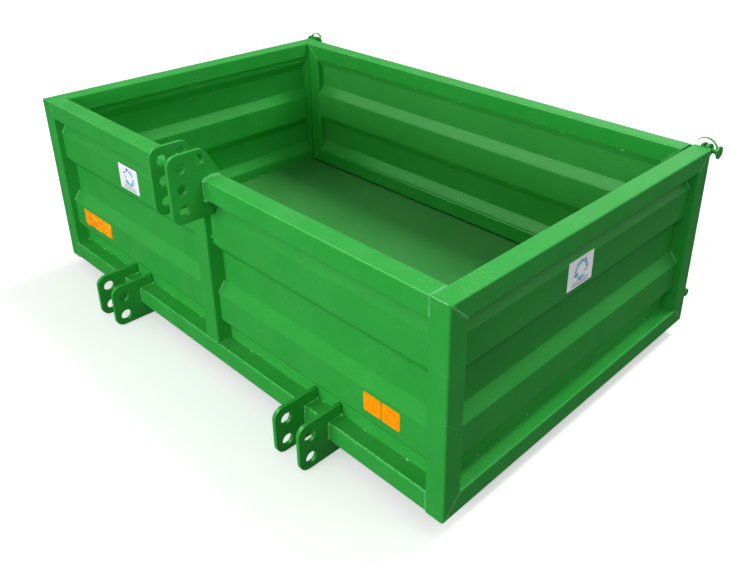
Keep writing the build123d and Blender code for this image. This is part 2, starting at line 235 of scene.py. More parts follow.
class NodeBuilder:
    """Short calls for laying out one node tree."""

    def __init__(self, tree: bpy.types.NodeTree) -> None:
        """Keeps the tree that the calls add to."""
        self.tree = tree

    def add(self, kind: str, **settings: object) -> bpy.types.Node:
        """Adds a node and sets its properties.

        Args:
            kind: Blender's node type.
            settings: properties by name.

        Returns:
            The node.
        """
        node = self.tree.nodes.new(kind)
        for key, value in settings.items():
            setattr(node, key, value)
        return node

    def link(self, source: bpy.types.NodeSocket, target: bpy.types.NodeSocket) -> None:
        """Joins two sockets."""
        self.tree.links.new(source, target)

    def feed(self, socket: bpy.types.NodeSocket, value: object) -> None:
        """Gives a socket a link if value is one, and a constant if not.

        Args:
            socket: the socket.
            value: another socket, a number or a colour.
        """
        if isinstance(value, bpy.types.NodeSocket):
            self.link(value, socket)
        else:
            socket.default_value = value

    def math(self, operation: str, first: object, second: object = 0.0,
             clamp: bool = False) -> bpy.types.NodeSocket:
        """One arithmetic step.

        Args:
            operation: Blender's name for it.
            first: first operand, a socket or a number.
            second: second operand.
            clamp: whether the result is kept between 0 and 1.

        Returns:
            The result.
        """
        node = self.add("ShaderNodeMath", operation=operation, use_clamp=clamp)
        self.feed(node.inputs[0], first)
        self.feed(node.inputs[1], second)
        return node.outputs[0]

    def span(self, value: object, low: float, high: float, out_low: float = 0.0,
             out_high: float = 1.0) -> bpy.types.NodeSocket:
        """Maps value smoothly from the span low to high onto the span out_low to out_high.

        Args:
            value: a socket or a number.
            low: where the result is out_low.
            high: where it is out_high, which may lie below low.
            out_low: the result at low.
            out_high: the result at high.

        Returns:
            The result, held at its ends outside the span.
        """
        node = self.add("ShaderNodeMapRange", interpolation_type="SMOOTHSTEP")
        self.feed(node.inputs["Value"], value)
        node.inputs["From Min"].default_value = low
        node.inputs["From Max"].default_value = high
        node.inputs["To Min"].default_value = out_low
        node.inputs["To Max"].default_value = out_high
        return node.outputs["Result"]

    def band(self, value: bpy.types.NodeSocket, edges: Band) -> bpy.types.NodeSocket:
        """1 between the two middle edges, falling smoothly to 0 at the outer two.

        Args:
            value: the socket.
            edges: the four edges from the lowest up.

        Returns:
            The band's socket.
        """
        low, low_full, high_full, high = edges
        return self.math("MULTIPLY", self.span(value, low, low_full),
                         self.span(value, high, high_full))

    def noise(self, vector: bpy.types.NodeSocket, scale: object, detail: float = 2.0,
              roughness: float = 0.5) -> bpy.types.NodeSocket:
        """A noise value between 0 and 1.

        Args:
            vector: where it is read.
            scale: its waves per unit.
            detail: how many finer octaves it has.
            roughness: how strong they are.

        Returns:
            The noise.
        """
        node = self.add("ShaderNodeTexNoise")
        self.link(vector, node.inputs["Vector"])
        self.feed(node.inputs["Scale"], scale)
        node.inputs["Detail"].default_value = detail
        node.inputs["Roughness"].default_value = roughness
        return node.outputs["Fac"]

    def mix(self, factor: object, first: object, second: object) -> bpy.types.NodeSocket:
        """A colour between first and second.

        Args:
            factor: 0 for the first, 1 for the second.
            first: a socket or a colour.
            second: a socket or a colour.

        Returns:
            The mixed colour.
        """
        node = self.add("ShaderNodeMix", data_type="RGBA")
        self.feed(node.inputs["Factor"], factor)
        self.feed(node.inputs[6], first)
        self.feed(node.inputs[7], second)
        return node.outputs[2]

    def scaled(self, vector: bpy.types.NodeSocket, scale: Vec3, location: Vec3 = (0.0, 0.0, 0.0)
               ) -> bpy.types.NodeSocket:
        """The vector times scale plus location.

        Args:
            vector: the socket.
            scale: the factor on each axis.
            location: what is added on each axis.

        Returns:
            The moved vector.
        """
        node = self.add("ShaderNodeMapping")
        self.link(vector, node.inputs["Vector"])
        node.inputs["Scale"].default_value = scale
        node.inputs["Location"].default_value = location
        return node.outputs["Vector"]


class GroupKit:
    """The shader node groups that several finishes share, each built once."""

    def __init__(self) -> None:
        """Builds the groups."""
        self.peel = self._orange_peel()
        self.flecks = self._flecks()
        self.dust = self._dust()

    @staticmethod
    def _new(name: str, inputs: Dict[str, str], outputs: Dict[str, str]
             ) -> Tuple[bpy.types.NodeTree, NodeBuilder, bpy.types.Node, bpy.types.Node]:
        """Starts a group with named sockets.

        Args:
            name: the group's name.
            inputs: socket types by name.
            outputs: socket types by name.

        Returns:
            The tree, its builder, and its input and output nodes.
        """
        tree = bpy.data.node_groups.new(name, "ShaderNodeTree")
        for label, kind in inputs.items():
            tree.interface.new_socket(label, in_out="INPUT", socket_type=kind)
        for label, kind in outputs.items():
            tree.interface.new_socket(label, in_out="OUTPUT", socket_type=kind)
        build = NodeBuilder(tree)
        return tree, build, build.add("NodeGroupInput"), build.add("NodeGroupOutput")

    def _orange_peel(self) -> bpy.types.NodeTree:
        """Fine waves of a sprayed coat: a height for bumps and a matching shade.

        Returns:
            The group.
        """
        tree, build, given, made = self._new(
            "orange_peel",
            {"Vector": "NodeSocketVector", "Scale": "NodeSocketFloat", "Sag": "NodeSocketFloat"},
            {"Height": "NodeSocketFloat", "Shade": "NodeSocketFloat"})
        vector, scale = given.outputs["Vector"], given.outputs["Scale"]
        wide_share, sag_scale = 0.045, 26.0
        fine = build.noise(vector, scale, 1.5, 0.55)
        wide = build.noise(vector, build.math("MULTIPLY", scale, wide_share))
        sag = build.noise(build.scaled(vector, (1.0, 1.0, 0.35)), sag_scale)
        sagged = build.math("MULTIPLY", sag, given.outputs["Sag"])
        build.link(build.math("ADD", fine, sagged), made.inputs["Height"])
        build.link(build.math("SUBTRACT", build.math("ADD", wide, sag), 1.0), made.inputs["Shade"])
        return tree

    def _flecks(self) -> bpy.types.NodeTree:
        """Sparse light grains, between 0 and 1: partly grain under the coat, partly painted glints.

        Returns:
            The group.
        """
        tree, build, given, made = self._new(
            "grain_flecks",
            {"Vector": "NodeSocketVector", "Scale": "NodeSocketFloat", "Cut": "NodeSocketFloat"},
            {"Mask": "NodeSocketFloat"})
        glint_grain = build.add("ShaderNodeTexVoronoi", feature="F1")
        build.link(given.outputs["Vector"], glint_grain.inputs["Vector"])
        build.link(given.outputs["Scale"], glint_grain.inputs["Scale"])
        small = build.math("LESS_THAN", glint_grain.outputs["Distance"], given.outputs["Cut"])
        patch = build.span(build.noise(given.outputs["Vector"], 9.0, 3.0), 0.42, 0.62)
        build.link(build.math("MULTIPLY", small, patch), made.inputs["Mask"])
        return tree

    def _dust(self) -> bpy.types.NodeTree:
        """Dust that settles on faces that look up, between 0 and 1.

        Returns:
            The group.
        """
        tree, build, given, made = self._new(
            "settled_dust",
            {"Vector": "NodeSocketVector", "Amount": "NodeSocketFloat"},
            {"Mask": "NodeSocketFloat"})
        facing = build.add("ShaderNodeSeparateXYZ")
        build.link(build.add("ShaderNodeNewGeometry").outputs["Normal"], facing.inputs[0])
        upward = build.span(facing.outputs["Z"], 0.3, 0.95)
        clouds = build.span(build.noise(given.outputs["Vector"], 7.0, 5.0, 0.6), 0.38, 0.75)
        build.link(build.math("MULTIPLY", build.math("MULTIPLY", upward, clouds),
                              given.outputs["Amount"]), made.inputs["Mask"])
        return tree


# ---- finishes -------------------------------------------------------------------------


def opaque(colour: Vec3) -> Tuple[float, float, float, float]:
    """The colour with an alpha of one."""
    return (*colour, 1.0)


class Surface:
    """One new material, with the parts that every finish shares.

    Attributes:
        roughness_spread: how far the roughness strays with the coat's shade.
    """

    roughness_spread: float = 0.10

    def __init__(self, name: str) -> None:
        """Makes the material, with its shader and the piece's own coordinates.

        Args:
            name: the material's name.
        """
        self.material = bpy.data.materials.new(name)
        self.material.use_nodes = True
        self.build = NodeBuilder(self.material.node_tree)
        self.shader = self.material.node_tree.nodes["Principled BSDF"]
        self.place = self.build.add("ShaderNodeTexCoord").outputs["Object"]

    def group(self, tree: bpy.types.NodeTree, **values: float) -> bpy.types.Node:
        """Places a shared group on the piece's own coordinates.

        Args:
            tree: the group.
            values: its inputs by name.

        Returns:
            The group's node.
        """
        node = self.build.add("ShaderNodeGroup", node_tree=tree)
        self.build.link(self.place, node.inputs["Vector"])
        for label, value in values.items():
            node.inputs[label].default_value = value
        return node

    def uneven(self, peel: bpy.types.Node, middle: float) -> bpy.types.NodeSocket:
        """A roughness that strays from the middle one with the coat's shade."""
        stray = self.build.math("MULTIPLY", peel.outputs["Shade"], self.roughness_spread)
        return self.build.math("ADD", stray, middle)

    def finish(self, colour: bpy.types.NodeSocket, roughness: bpy.types.NodeSocket,
               height: bpy.types.NodeSocket, depth: float, distance: float,
               glow: float = 0.0) -> bpy.types.Material:
        """Feeds the shader.

        Args:
            colour: the base colour.
            roughness: the roughness.
            height: the height that bends the light.
            depth: how strongly it does.
            distance: the height's unit in metres.
            glow: how strongly the surface shines in its own colour, as painted glow.

        Returns:
            The material.
        """
        self.build.link(colour, self.shader.inputs["Base Color"])
        self.build.link(roughness, self.shader.inputs["Roughness"])
        # Emission in the base colour: painted glow.
        if glow > 0.0:
            self.build.link(colour, self.shader.inputs["Emission Color"])
            self.shader.inputs["Emission Strength"].default_value = glow
        bump = self.build.add("ShaderNodeBump")
        bump.inputs["Strength"].default_value = depth
        bump.inputs["Distance"].default_value = distance
        self.build.link(height, bump.inputs["Height"])
        self.build.link(bump.outputs["Normal"], self.shader.inputs["Normal"])
        return self.material


@dataclass(frozen=True)
class PaintFinish:
    """Green stoving enamel over welded steel.

    Attributes:
        name: the material's name.
        colour: its main colour, linear.
        light: the colour where the coat is thicker.
        roughness: its middle roughness.
        peel_scale: waves of orange peel per metre.
        peel_depth: how strongly they bend the light.
        sag: how much of the slower, downward waves is added.
        flecks: how much the light grains lighten the colour, partly grain and partly painted glints.
        dust: how much dust lies on upward faces.
        fleck_scale: grains for each wave of orange peel.
        fleck_size: a grain's radius as a share of its cell.
        fleck_colour: the grains' colour, lighter than the coat: partly grain, partly painted glints.
        dust_colour: the dust's colour.
        dust_roughness: how much rougher full dust is.
        thickening: how fast the colour turns light with the coat's shade, and its middle.
        specular: how much the coat mirrors.
        peel_height: height of the orange peel in metres.
    """

    name: str
    colour: Vec3 = (0.029, 0.410, 0.051)
    light: Vec3 = (0.038, 0.460, 0.064)
    roughness: float = 0.36
    peel_scale: float = 340.0
    peel_depth: float = 0.42
    sag: float = 1.2
    flecks: float = 0.75
    dust: float = 0.05
    fleck_scale: float = 0.8
    fleck_size: float = 0.26
    fleck_colour: Vec3 = (0.13, 0.64, 0.17)
    dust_colour: Vec3 = (0.45, 0.55, 0.42)
    dust_roughness: float = 0.8
    thickening: Tuple[float, float] = (0.9, 0.35)
    specular: float = 0.36
    peel_height: float = 0.0006

    def build(self, groups: GroupKit) -> bpy.types.Material:
        """Makes the material.

        Args:
            groups: the shared node groups.

        Returns:
            The material.
        """
        surface = Surface(self.name)
        build = surface.build
        peel = surface.group(groups.peel, Scale=self.peel_scale, Sag=self.sag)
        flecks = surface.group(groups.flecks, Scale=self.peel_scale * self.fleck_scale,
                               Cut=self.fleck_size)
        dust = surface.group(groups.dust, Amount=self.dust).outputs["Mask"]
        speed, middle = self.thickening
        shade = build.math("MULTIPLY", peel.outputs["Shade"], speed)
        shade = build.math("ADD", shade, middle, clamp=True)
        coat = build.mix(shade, opaque(self.colour), opaque(self.light))
        # Light grains mixed into the colour: partly grain, partly painted glints for the coat's sparkle.
        glint_grain = build.math("MULTIPLY", flecks.outputs["Mask"], self.flecks)
        coat = build.mix(glint_grain, coat, opaque(self.fleck_colour))
        coat = build.mix(dust, coat, opaque(self.dust_colour))
        rough = build.math("ADD", surface.uneven(peel, self.roughness),
                           build.math("MULTIPLY", dust, self.dust_roughness), clamp=True)
        surface.shader.inputs["Specular IOR Level"].default_value = self.specular
        surface.shader.inputs["Metallic"].default_value = 0.0
        return surface.finish(coat, rough, peel.outputs["Height"], self.peel_depth, self.peel_height)


@dataclass(frozen=True)
class AmberFinish:
    """Retroreflective amber film with a fine honeycomb of cells.

    Attributes:
        name: the material's name.
        folds: how strongly the painted shade and painted highlights of creases darken and brighten it.
        colour: the film's colour, linear.
        deep: the colour between the cells.
        fold_shade: the painted shade in a crease's valley.
        fold_light: the painted highlight on its ridge.
        cell_scale: cells per metre.
        cell_stretch: how the cells' grid is stretched on each axis.
        cell_spread: how much the cells stray from an even grid.
        peel_scale: waves of the carrier's surface per metre.
        roughness: its middle roughness.
        specular: how much the film mirrors.
        glow: how strongly it shines in its own colour: painted glow.
    """

    name: str
    folds: float = 0.0
    colour: Vec3 = (1.0, 0.375, 0.0)
    deep: Vec3 = (0.88, 0.24, 0.0)
    fold_shade: Vec3 = (0.76, 0.21, 0.0)
    fold_light: Vec3 = (1.0, 0.58, 0.03)
    cell_scale: float = 320.0
    cell_stretch: Vec3 = (1.0, 0.02, 1.15)
    cell_spread: float = 0.12
    peel_scale: float = 180.0
    roughness: float = 0.24
    specular: float = 0.25
    glow: float = 0.30

    def build(self, groups: GroupKit) -> bpy.types.Material:
        """Makes the material.

        Args:
            groups: the shared node groups.

        Returns:
            The material.
        """
        surface = Surface(self.name)
        build, place = surface.build, surface.place
        cells = build.add("ShaderNodeTexVoronoi", feature="DISTANCE_TO_EDGE")
        build.link(build.scaled(place, self.cell_stretch), cells.inputs["Vector"])
        cells.inputs["Scale"].default_value = self.cell_scale
        cells.inputs["Randomness"].default_value = self.cell_spread
        wall = build.span(cells.outputs["Distance"], 0.03, 0.16)
        clouds = build.span(build.noise(place, 55.0, 2.0), 0.35, 0.7)
        amount = build.math("MULTIPLY", build.math("ADD", wall, clouds), 0.5)
        colour = build.mix(amount, opaque(self.deep), opaque(self.colour))
        # Creases drawn into the colour from noise bands: painted shade in the valleys, painted
        # highlights on the ridges.
        low_folds = build.noise(build.scaled(place, (1.0, 1.0, 0.6)), 30.0, 1.0)
        high_folds = build.noise(build.scaled(place, (1.0, 1.0, 1.5)), 40.0, 1.0)
        shaded_valleys, highlit_ridges = build.span(low_folds, 0.50, 0.60), build.span(high_folds, 0.54, 0.62)
        for crease, tint in ((shaded_valleys, self.fold_shade), (highlit_ridges, self.fold_light)):
            colour = build.mix(build.math("MULTIPLY", crease, self.folds), colour, opaque(tint))
        surface.shader.inputs["Specular IOR Level"].default_value = self.specular
        peel = surface.group(groups.peel, Scale=self.peel_scale, Sag=0.5)
        height = build.math("ADD", wall, peel.outputs["Height"])
        # The film shines in its own colour by its glow: painted glow.
        return surface.finish(colour, surface.uneven(peel, self.roughness), height, 0.25, 0.0003,
                              self.glow)


class Emblem(Enum):
    """Which worn print a label carries, as the place of its wear in the noise."""

    FRONT = 3.1
    SIDE = 8.7


@dataclass(frozen=True)
class LabelFinish:
    """White printed film with a plain ring, a few blots and rule lines, and no lettering.

    Places are shares of the label's width and height. A band is 0 outside its first and
    last number and 1 between the two in the middle.

    Attributes:
        name: the material's name.
        emblem: which print it carries.
        ring: the ring's colour, linear.
        ink: the colour of blots and rules.
        ground: the film's white.
        centre: middle of the ring.
        squash: height of a unit of the print as a share of its width.
        ring_band: distances from the centre that the ring takes.
        blot_band: distances that the blots take.
        rule_bands: heights of the two rules.
        rule_ends: widths that the rules take.
        rule_strength: how dark the rules are.
        roughness: its middle roughness.
        glow: how strongly the film shines in its own colour: painted glow.
    """

    name: str
    emblem: Emblem
    ring: Vec3 = (0.16, 0.52, 0.74)
    ink: Vec3 = (0.015, 0.07, 0.16)
    ground: Vec3 = (0.90, 0.94, 0.98)
    centre: Tuple[float, float] = (0.52, 0.56)
    squash: float = 0.78
    ring_band: Band = (0.15, 0.19, 0.24, 0.29)
    blot_band: Band = (0.12, 0.20, 0.28, 0.33)
    rule_bands: Tuple[Band, Band] = ((0.055, 0.075, 0.105, 0.125), (0.165, 0.18, 0.195, 0.21))
    rule_ends: Band = (0.16, 0.18, 0.84, 0.86)
    rule_strength: float = 0.72
    roughness: float = 0.38
    glow: float = 0.22

    def build(self, groups: GroupKit) -> bpy.types.Material:
        """Makes the material on the piece's own UV map.

        The ring is a band of the distance from the centre, which noise bends a little.
        A second noise wears it away in places, and a third leaves blots near it.

        Args:
            groups: the shared node groups.

        Returns:
            The material.
        """
        surface = Surface(self.name)
        build = surface.build
        flat = build.add("ShaderNodeUVMap", uv_map=UV_NAME).outputs["UV"]
        parts = build.add("ShaderNodeSeparateXYZ")
        build.link(flat, parts.inputs[0])
        u, v = parts.outputs["X"], parts.outputs["Y"]
        across = build.math("SUBTRACT", u, self.centre[0])
        up = build.math("MULTIPLY", build.math("SUBTRACT", v, self.centre[1]), self.squash)
        squares = build.math("ADD", build.math("MULTIPLY", across, across),
                             build.math("MULTIPLY", up, up))
        distance = build.math("SQRT", squares)
        wobble = build.math("SUBTRACT", build.noise(flat, 9.0, 3.0), 0.5)
        wobble = build.math("MULTIPLY", wobble, 0.10)
        ring = build.band(build.math("ADD", distance, wobble), self.ring_band)
        shift = self.emblem.value
        shifted = build.scaled(flat, (1.0, 1.0, 1.0), (shift, shift, 0.0))
        worn = build.span(build.noise(shifted, 6.0, 3.0), 0.40, 0.56)
        blots = build.span(build.noise(shifted, 12.0, 4.0, 0.65), 0.54, 0.58)
        low_rule, high_rule = (build.band(v, heights) for heights in self.rule_bands)
        rules = build.math("MULTIPLY", build.math("MAXIMUM", low_rule, high_rule),
                           build.band(u, self.rule_ends))
        print_layers = (
            (build.math("MULTIPLY", ring, worn), self.ring),
            (build.math("MULTIPLY", blots, build.band(distance, self.blot_band)), self.ink),
            (build.math("MULTIPLY", rules, self.rule_strength), self.ink),
        )
        paper: object = opaque(self.ground)
        for amount, tint in print_layers:
            paper = build.mix(amount, paper, opaque(tint))
        peel = surface.group(groups.peel, Scale=260.0, Sag=1.0)
        # The label shines in its own colour by its glow: painted glow.
        return surface.finish(paper, surface.uneven(peel, self.roughness), peel.outputs["Height"],
                              0.12, 0.0004, self.glow)


class Finishes:
    """Every material of the box, built once."""

    def __init__(self) -> None:
        """Builds the materials."""
        groups = GroupKit()

        def paint(piece: str, **changes: object) -> bpy.types.Material:
            """The green paint, changed as one kind of piece needs."""
            return PaintFinish("green_enamel_" + piece, **changes).build(groups)

        self.tube = paint("tube", peel_depth=0.34)
        self.sheet = paint("sheet", peel_depth=0.50, flecks=0.55)
        self.plate = paint("plate", peel_depth=0.36, sag=1.6, flecks=0.25)
        # The gate sheet's copy of the paint is lighter and greyer: painted light, for how the sheet
        # looks lit inside the box.
        self.gate = paint("gate", colour=(0.056, 0.440, 0.074), light=(0.068, 0.490, 0.088),
                          roughness=0.42, peel_depth=0.50, flecks=0.8)
        # The floor's copy of the paint is darker and greyer: painted shade of the box's inside.
        self.floor = paint("floor", colour=(0.046, 0.290, 0.058), light=(0.056, 0.330, 0.070),
                           roughness=0.50, peel_depth=0.16, flecks=0.1, dust=0.04)
        # The welds' paint is lighter and brighter than the coat: painted highlights on the beads.
        self.weld = paint("weld", colour=(0.080, 0.510, 0.115), light=(0.170, 0.630, 0.210),
                          roughness=0.22, peel_scale=700.0, peel_depth=0.35, dust=0.0)
        self.small = paint("fitting", roughness=0.30, peel_depth=0.2)
        self.amber = AmberFinish("amber_film").build(groups)
        self.creased_amber = AmberFinish("amber_film_creased", folds=0.6).build(groups)
        self.front_label = LabelFinish("front_label_print", Emblem.FRONT).build(groups)
        self.side_label = LabelFinish("side_label_print", Emblem.SIDE).build(groups)


# ---- rolled sheets --------------------------------------------------------------------


def rounded_path(corners: Array, radius: float, steps: int) -> Array:
    """A polyline whose inner corners are turned into arcs.

    Each corner is replaced by points of the circle of the given radius that touches both
    of its runs, found from the angle between them.

    Args:
        corners: (n, 2) places.
        radius: radius of every arc.
        steps: number of intervals on an arc.

    Returns:
        (m, 2) places.
    """
    rows: List[Array] = [corners[:1]]
    for before, corner, after in zip(corners[:-2], corners[1:-1], corners[2:]):
        back = (before - corner) / np.linalg.norm(before - corner)
        ahead = (after - corner) / np.linalg.norm(after - corner)
        half = np.arccos(np.clip(back @ ahead, -1, 1)) / 2
        reach = radius / np.tan(half)
        middle = corner + (back + ahead) / np.linalg.norm(back + ahead) * radius / np.sin(half)
        start, end = corner + back * reach - middle, corner + ahead * reach - middle
        turn = np.arctan2(start[0] * end[1] - start[1] * end[0], start @ end)
        angles = np.linspace(0, turn, steps + 1)
        cos, sin = np.cos(angles), np.sin(angles)
        rows.append(middle + np.stack([start[0] * cos - start[1] * sin,
                                       start[0] * sin + start[1] * cos], axis=-1))
    rows.append(corners[-1:])
    return np.vstack(rows)


@dataclass
class RolledSheet:
    """A wall sheet with two rolled ribs, built on its CAD node's box.

    Attributes:
        node: the CAD node it stands for.
        body: the body it rides on.
        along: axis of the sheet's length, 0 for X and 1 for Y.
        outward: sign of the side that the ribs stand out to, on the other axis.
        rib_rise: middles of the ribs above the sheet's lower edge.
        thickness: sheet thickness.
        rib_depth: how far a rib stands out.
        rib_face: flat of a rib.
        rib_slope: height of each slope.
        bend: radius of the bends.
        waviness: how far the flats wander.
        seed: fixes the waviness.
        stations: number of sections along the sheet.
        bend_steps: number of intervals on a bend.
        flat_step: longest interval on a flat.
    """

    node: str
    body: Body
    along: int
    outward: int
    rib_rise: Tuple[float, float] = (0.102, 0.315)
    thickness: float = 0.002
    rib_depth: float = 0.022
    rib_face: float = 0.074
    rib_slope: float = 0.030
    bend: float = 0.005
    waviness: float = 0.0006
    seed: int = 1
    stations: int = 64
    bend_steps: int = 5
    flat_step: float = 0.012

    def corners(self, height: float) -> Array:
        """Corners (depth, rise) of the outer face, from the lower edge up.

        Depth is measured inwards from the face of the ribs.

        Args:
            height: the sheet's height.

        Returns:
            (n, 2) places.
        """
        rows = [(self.rib_depth, 0.0)]
        half, flank = self.rib_face / 2, self.rib_face / 2 + self.rib_slope
        for rise in self.rib_rise:
            rows += [(self.rib_depth, rise - flank), (0.0, rise - half), (0.0, rise + half),
                     (self.rib_depth, rise + flank)]
        if rows[-1][1] < height:
            rows.append((self.rib_depth, height))
        else:
            over = (rows[-1][1] - height) / self.rib_slope
            rows[-1] = (self.rib_depth * (1 - over), height)
        return np.array(rows)

    def section(self, height: float) -> Array:
        """Outer face then inner face of the rounded section, as one closed loop.

        The inner face is the outer one moved inwards by the thickness along its normals,
        with both ends kept level with the sheet's edges.

        Args:
            height: the sheet's height.

        Returns:
            (n, 2) places (depth, rise).
        """
        outer = rounded_path(self.corners(height), self.bend, self.bend_steps)
        runs = [np.linspace(a, b, max(2, int(np.linalg.norm(b - a) / self.flat_step) + 1))[:-1]
                for a, b in zip(outer[:-1], outer[1:])]
        outer = np.vstack(runs + [outer[-1:]])
        tangent = np.gradient(outer, axis=0)
        tangent /= np.linalg.norm(tangent, axis=1)[:, None]
        inner = outer + np.stack([tangent[:, 1], -tangent[:, 0]], axis=-1) * self.thickness
        inner[:, 1] = np.clip(inner[:, 1], 0, height)
        return np.vstack([outer, inner[::-1]])

    def place(self, length: Array, depth: Array, rise: Array) -> Array:
        """Turns lengths, depths and rises into places on the box.

        Args:
            length: distance along the sheet from its low end.
            depth: distance inwards from the ribs' face.
            rise: height above the lower edge.

        Returns:
            (..., 3) places.
        """
        low = node_box(self.node)[0]
        places = np.zeros((*np.broadcast(length, depth, rise).shape, 3))
        places[..., self.along] = low[self.along] + length
        places[..., 1 - self.along] = self.rib_place() - self.outward * depth
        places[..., 2] = low[2] + rise
        return places

    def rib_place(self) -> float:
        """Place of the ribs' outer face on the axis across the sheet."""
        low, high = node_box(self.node)
        return float((high if self.outward > 0 else low)[1 - self.along])

    def flat(self, behind: float = 0.0) -> float:
        """Place of the outer flats, or of a face that lies behind them, on the same axis."""
        return self.rib_place() - self.outward * (self.rib_depth + behind)

    def build(self, finishes: Finishes) -> bpy.types.Object:
        """Makes the sheet: the section carried along its length, with slow dents in it.

        A dent's depth is the product of two noises, one along the sheet and one up it,
        and falls to nothing at all four edges.

        Args:
            finishes: the box's materials.

        Returns:
            The sheet.
        """
        low, high = node_box(self.node)
        height, length = high[2] - low[2], high[self.along] - low[self.along]
        section = self.section(height)
        stations = np.linspace(0, length, self.stations)
        along, rise = np.meshgrid(stations, section[:, 1], indexing="ij")
        depth = np.broadcast_to(section[:, 0], along.shape)
        still = np.sin(np.pi * along / length) * np.sin(np.pi * rise / height)
        dents = (ripple_noise(along + 0.7 * rise, self.seed, 0.55)
                 * ripple_noise(rise, self.seed + 50, 0.40))
        points = self.place(along, depth + self.waviness * still * dents, rise)
        count = len(section)
        quads = grid_quads(len(stations), count, wrap=True)
        half = count // 2
        ring = np.arange(half - 1)
        near = np.stack([ring, count - 1 - ring, count - 2 - ring, ring + 1], axis=-1)
        far = near[:, ::-1] + (len(stations) - 1) * count
        shell = Shell()
        shell.add(points.reshape(-1, 3), np.vstack([quads, near, far]))
        paint = finishes.gate if self.body is Body.TAILGATE else finishes.sheet
        return new_piece(self.node + "_rolled", shell, paint, self.body, 50, self.node)


def softened_copy(node: str, body: Body, material: bpy.types.Material,
                  width: float) -> bpy.types.Object:
    """A CAD node's shape with its sharp edges rounded off, which stands for the node.

    Args:
        node: the CAD node.
        body: the body it rides on.
        material: its finish.
        width: width of the rounding.

    Returns:
        The new piece.
    """
    merge_distance, flat_degrees, shading_degrees, bevel_degrees = 2e-5, 0.5, 30.0, 40.0
    work = bmesh.new()
    work.from_mesh(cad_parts[node].data)
    bmesh.ops.remove_doubles(work, verts=work.verts, dist=merge_distance)
    bmesh.ops.dissolve_limit(work, angle_limit=math.radians(flat_degrees), verts=work.verts,
                             edges=work.edges)
    mesh = bpy.data.meshes.new(node + "_soft")
    work.to_mesh(mesh)
    work.free()
    mesh.materials.append(material)
    smooth_shading(mesh, shading_degrees)
    piece = bpy.data.objects.new(node + "_soft", mesh)
    bevel = piece.modifiers.new("rounded_edges", "BEVEL")
    bevel.width = width
    bevel.segments = 2
    bevel.limit_method = "ANGLE"
    bevel.angle_limit = math.radians(bevel_degrees)
    bevel.use_clamp_overlap = True
    bevel.harden_normals = True
    register(piece, body)
    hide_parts(node)
    return piece


# ---- welds ----------------------------------------------------------------------------


@dataclass
class Bead:
    """One run of weld metal from start to end.

    Attributes:
        start: first point of its root line.
        end: last point of its root line.
        out: unit vector out of the joint.
        across: unit vector across the bead.
        half_width: half its width.
        height: how far it stands out.
        pitch: distance from one ripple to the next.
        around: number of points round the section.
        rippling: how much the ripples swell the section.
        swelling: how much slow noise does.
    """

    start: Array
    end: Array
    out: Array
    across: Array
    half_width: float = 0.003
    height: float = 0.0015
    pitch: float = 0.0042
    around: int = 12
    rippling: float = 0.13
    swelling: float = 0.16

    def surface(self, seed: int) -> Tuple[Array, Array]:
        """The bead as a rippled tube, closed by rounding its ends to points.

        The section is an ellipse of half_width by height. Its size follows a sine of the
        ripple pitch, bowed backwards at the sides as solidified metal is, plus slow noise,
        and falls to nothing over one half_width at each end.

        Args:
            seed: fixes the noise.

        Returns:
            Points and quads.
        """
        run = self.end - self.start
        length = float(np.linalg.norm(run))
        step = min(0.0011, self.half_width * 0.4)
        count = int(np.clip(length / step, 8, 420))
        s = np.linspace(0, length, count)[:, None]
        angle = np.linspace(0, 2 * np.pi, self.around, endpoint=False)[None, :]
        bow = 0.5 * self.half_width * np.cos(angle) ** 2
        ripple = np.sin(2 * np.pi * (s + bow) / self.pitch + seed)
        slow = ripple_noise(s[:, 0], seed, 0.045)[:, None]
        size = 1 + self.rippling * ripple + self.swelling * slow
        edge = np.minimum(np.minimum(s, length - s) / min(self.half_width * 1.3, length / 2), 1)
        size = size * np.sqrt(np.clip(1 - (1 - edge) ** 2, 1e-6, 1))
        drift = ripple_noise(s[:, 0], seed + 9, 0.03)[:, None] * 0.18 * self.half_width
        across = (np.cos(angle) * self.half_width * size + drift)[..., None] * self.across
        out = (np.sin(angle) * self.height * size)[..., None] * self.out
        points = self.start + run * (s / length)[..., None] + across + out
        return points.reshape(-1, 3), grid_quads(count, self.around, wrap=True)


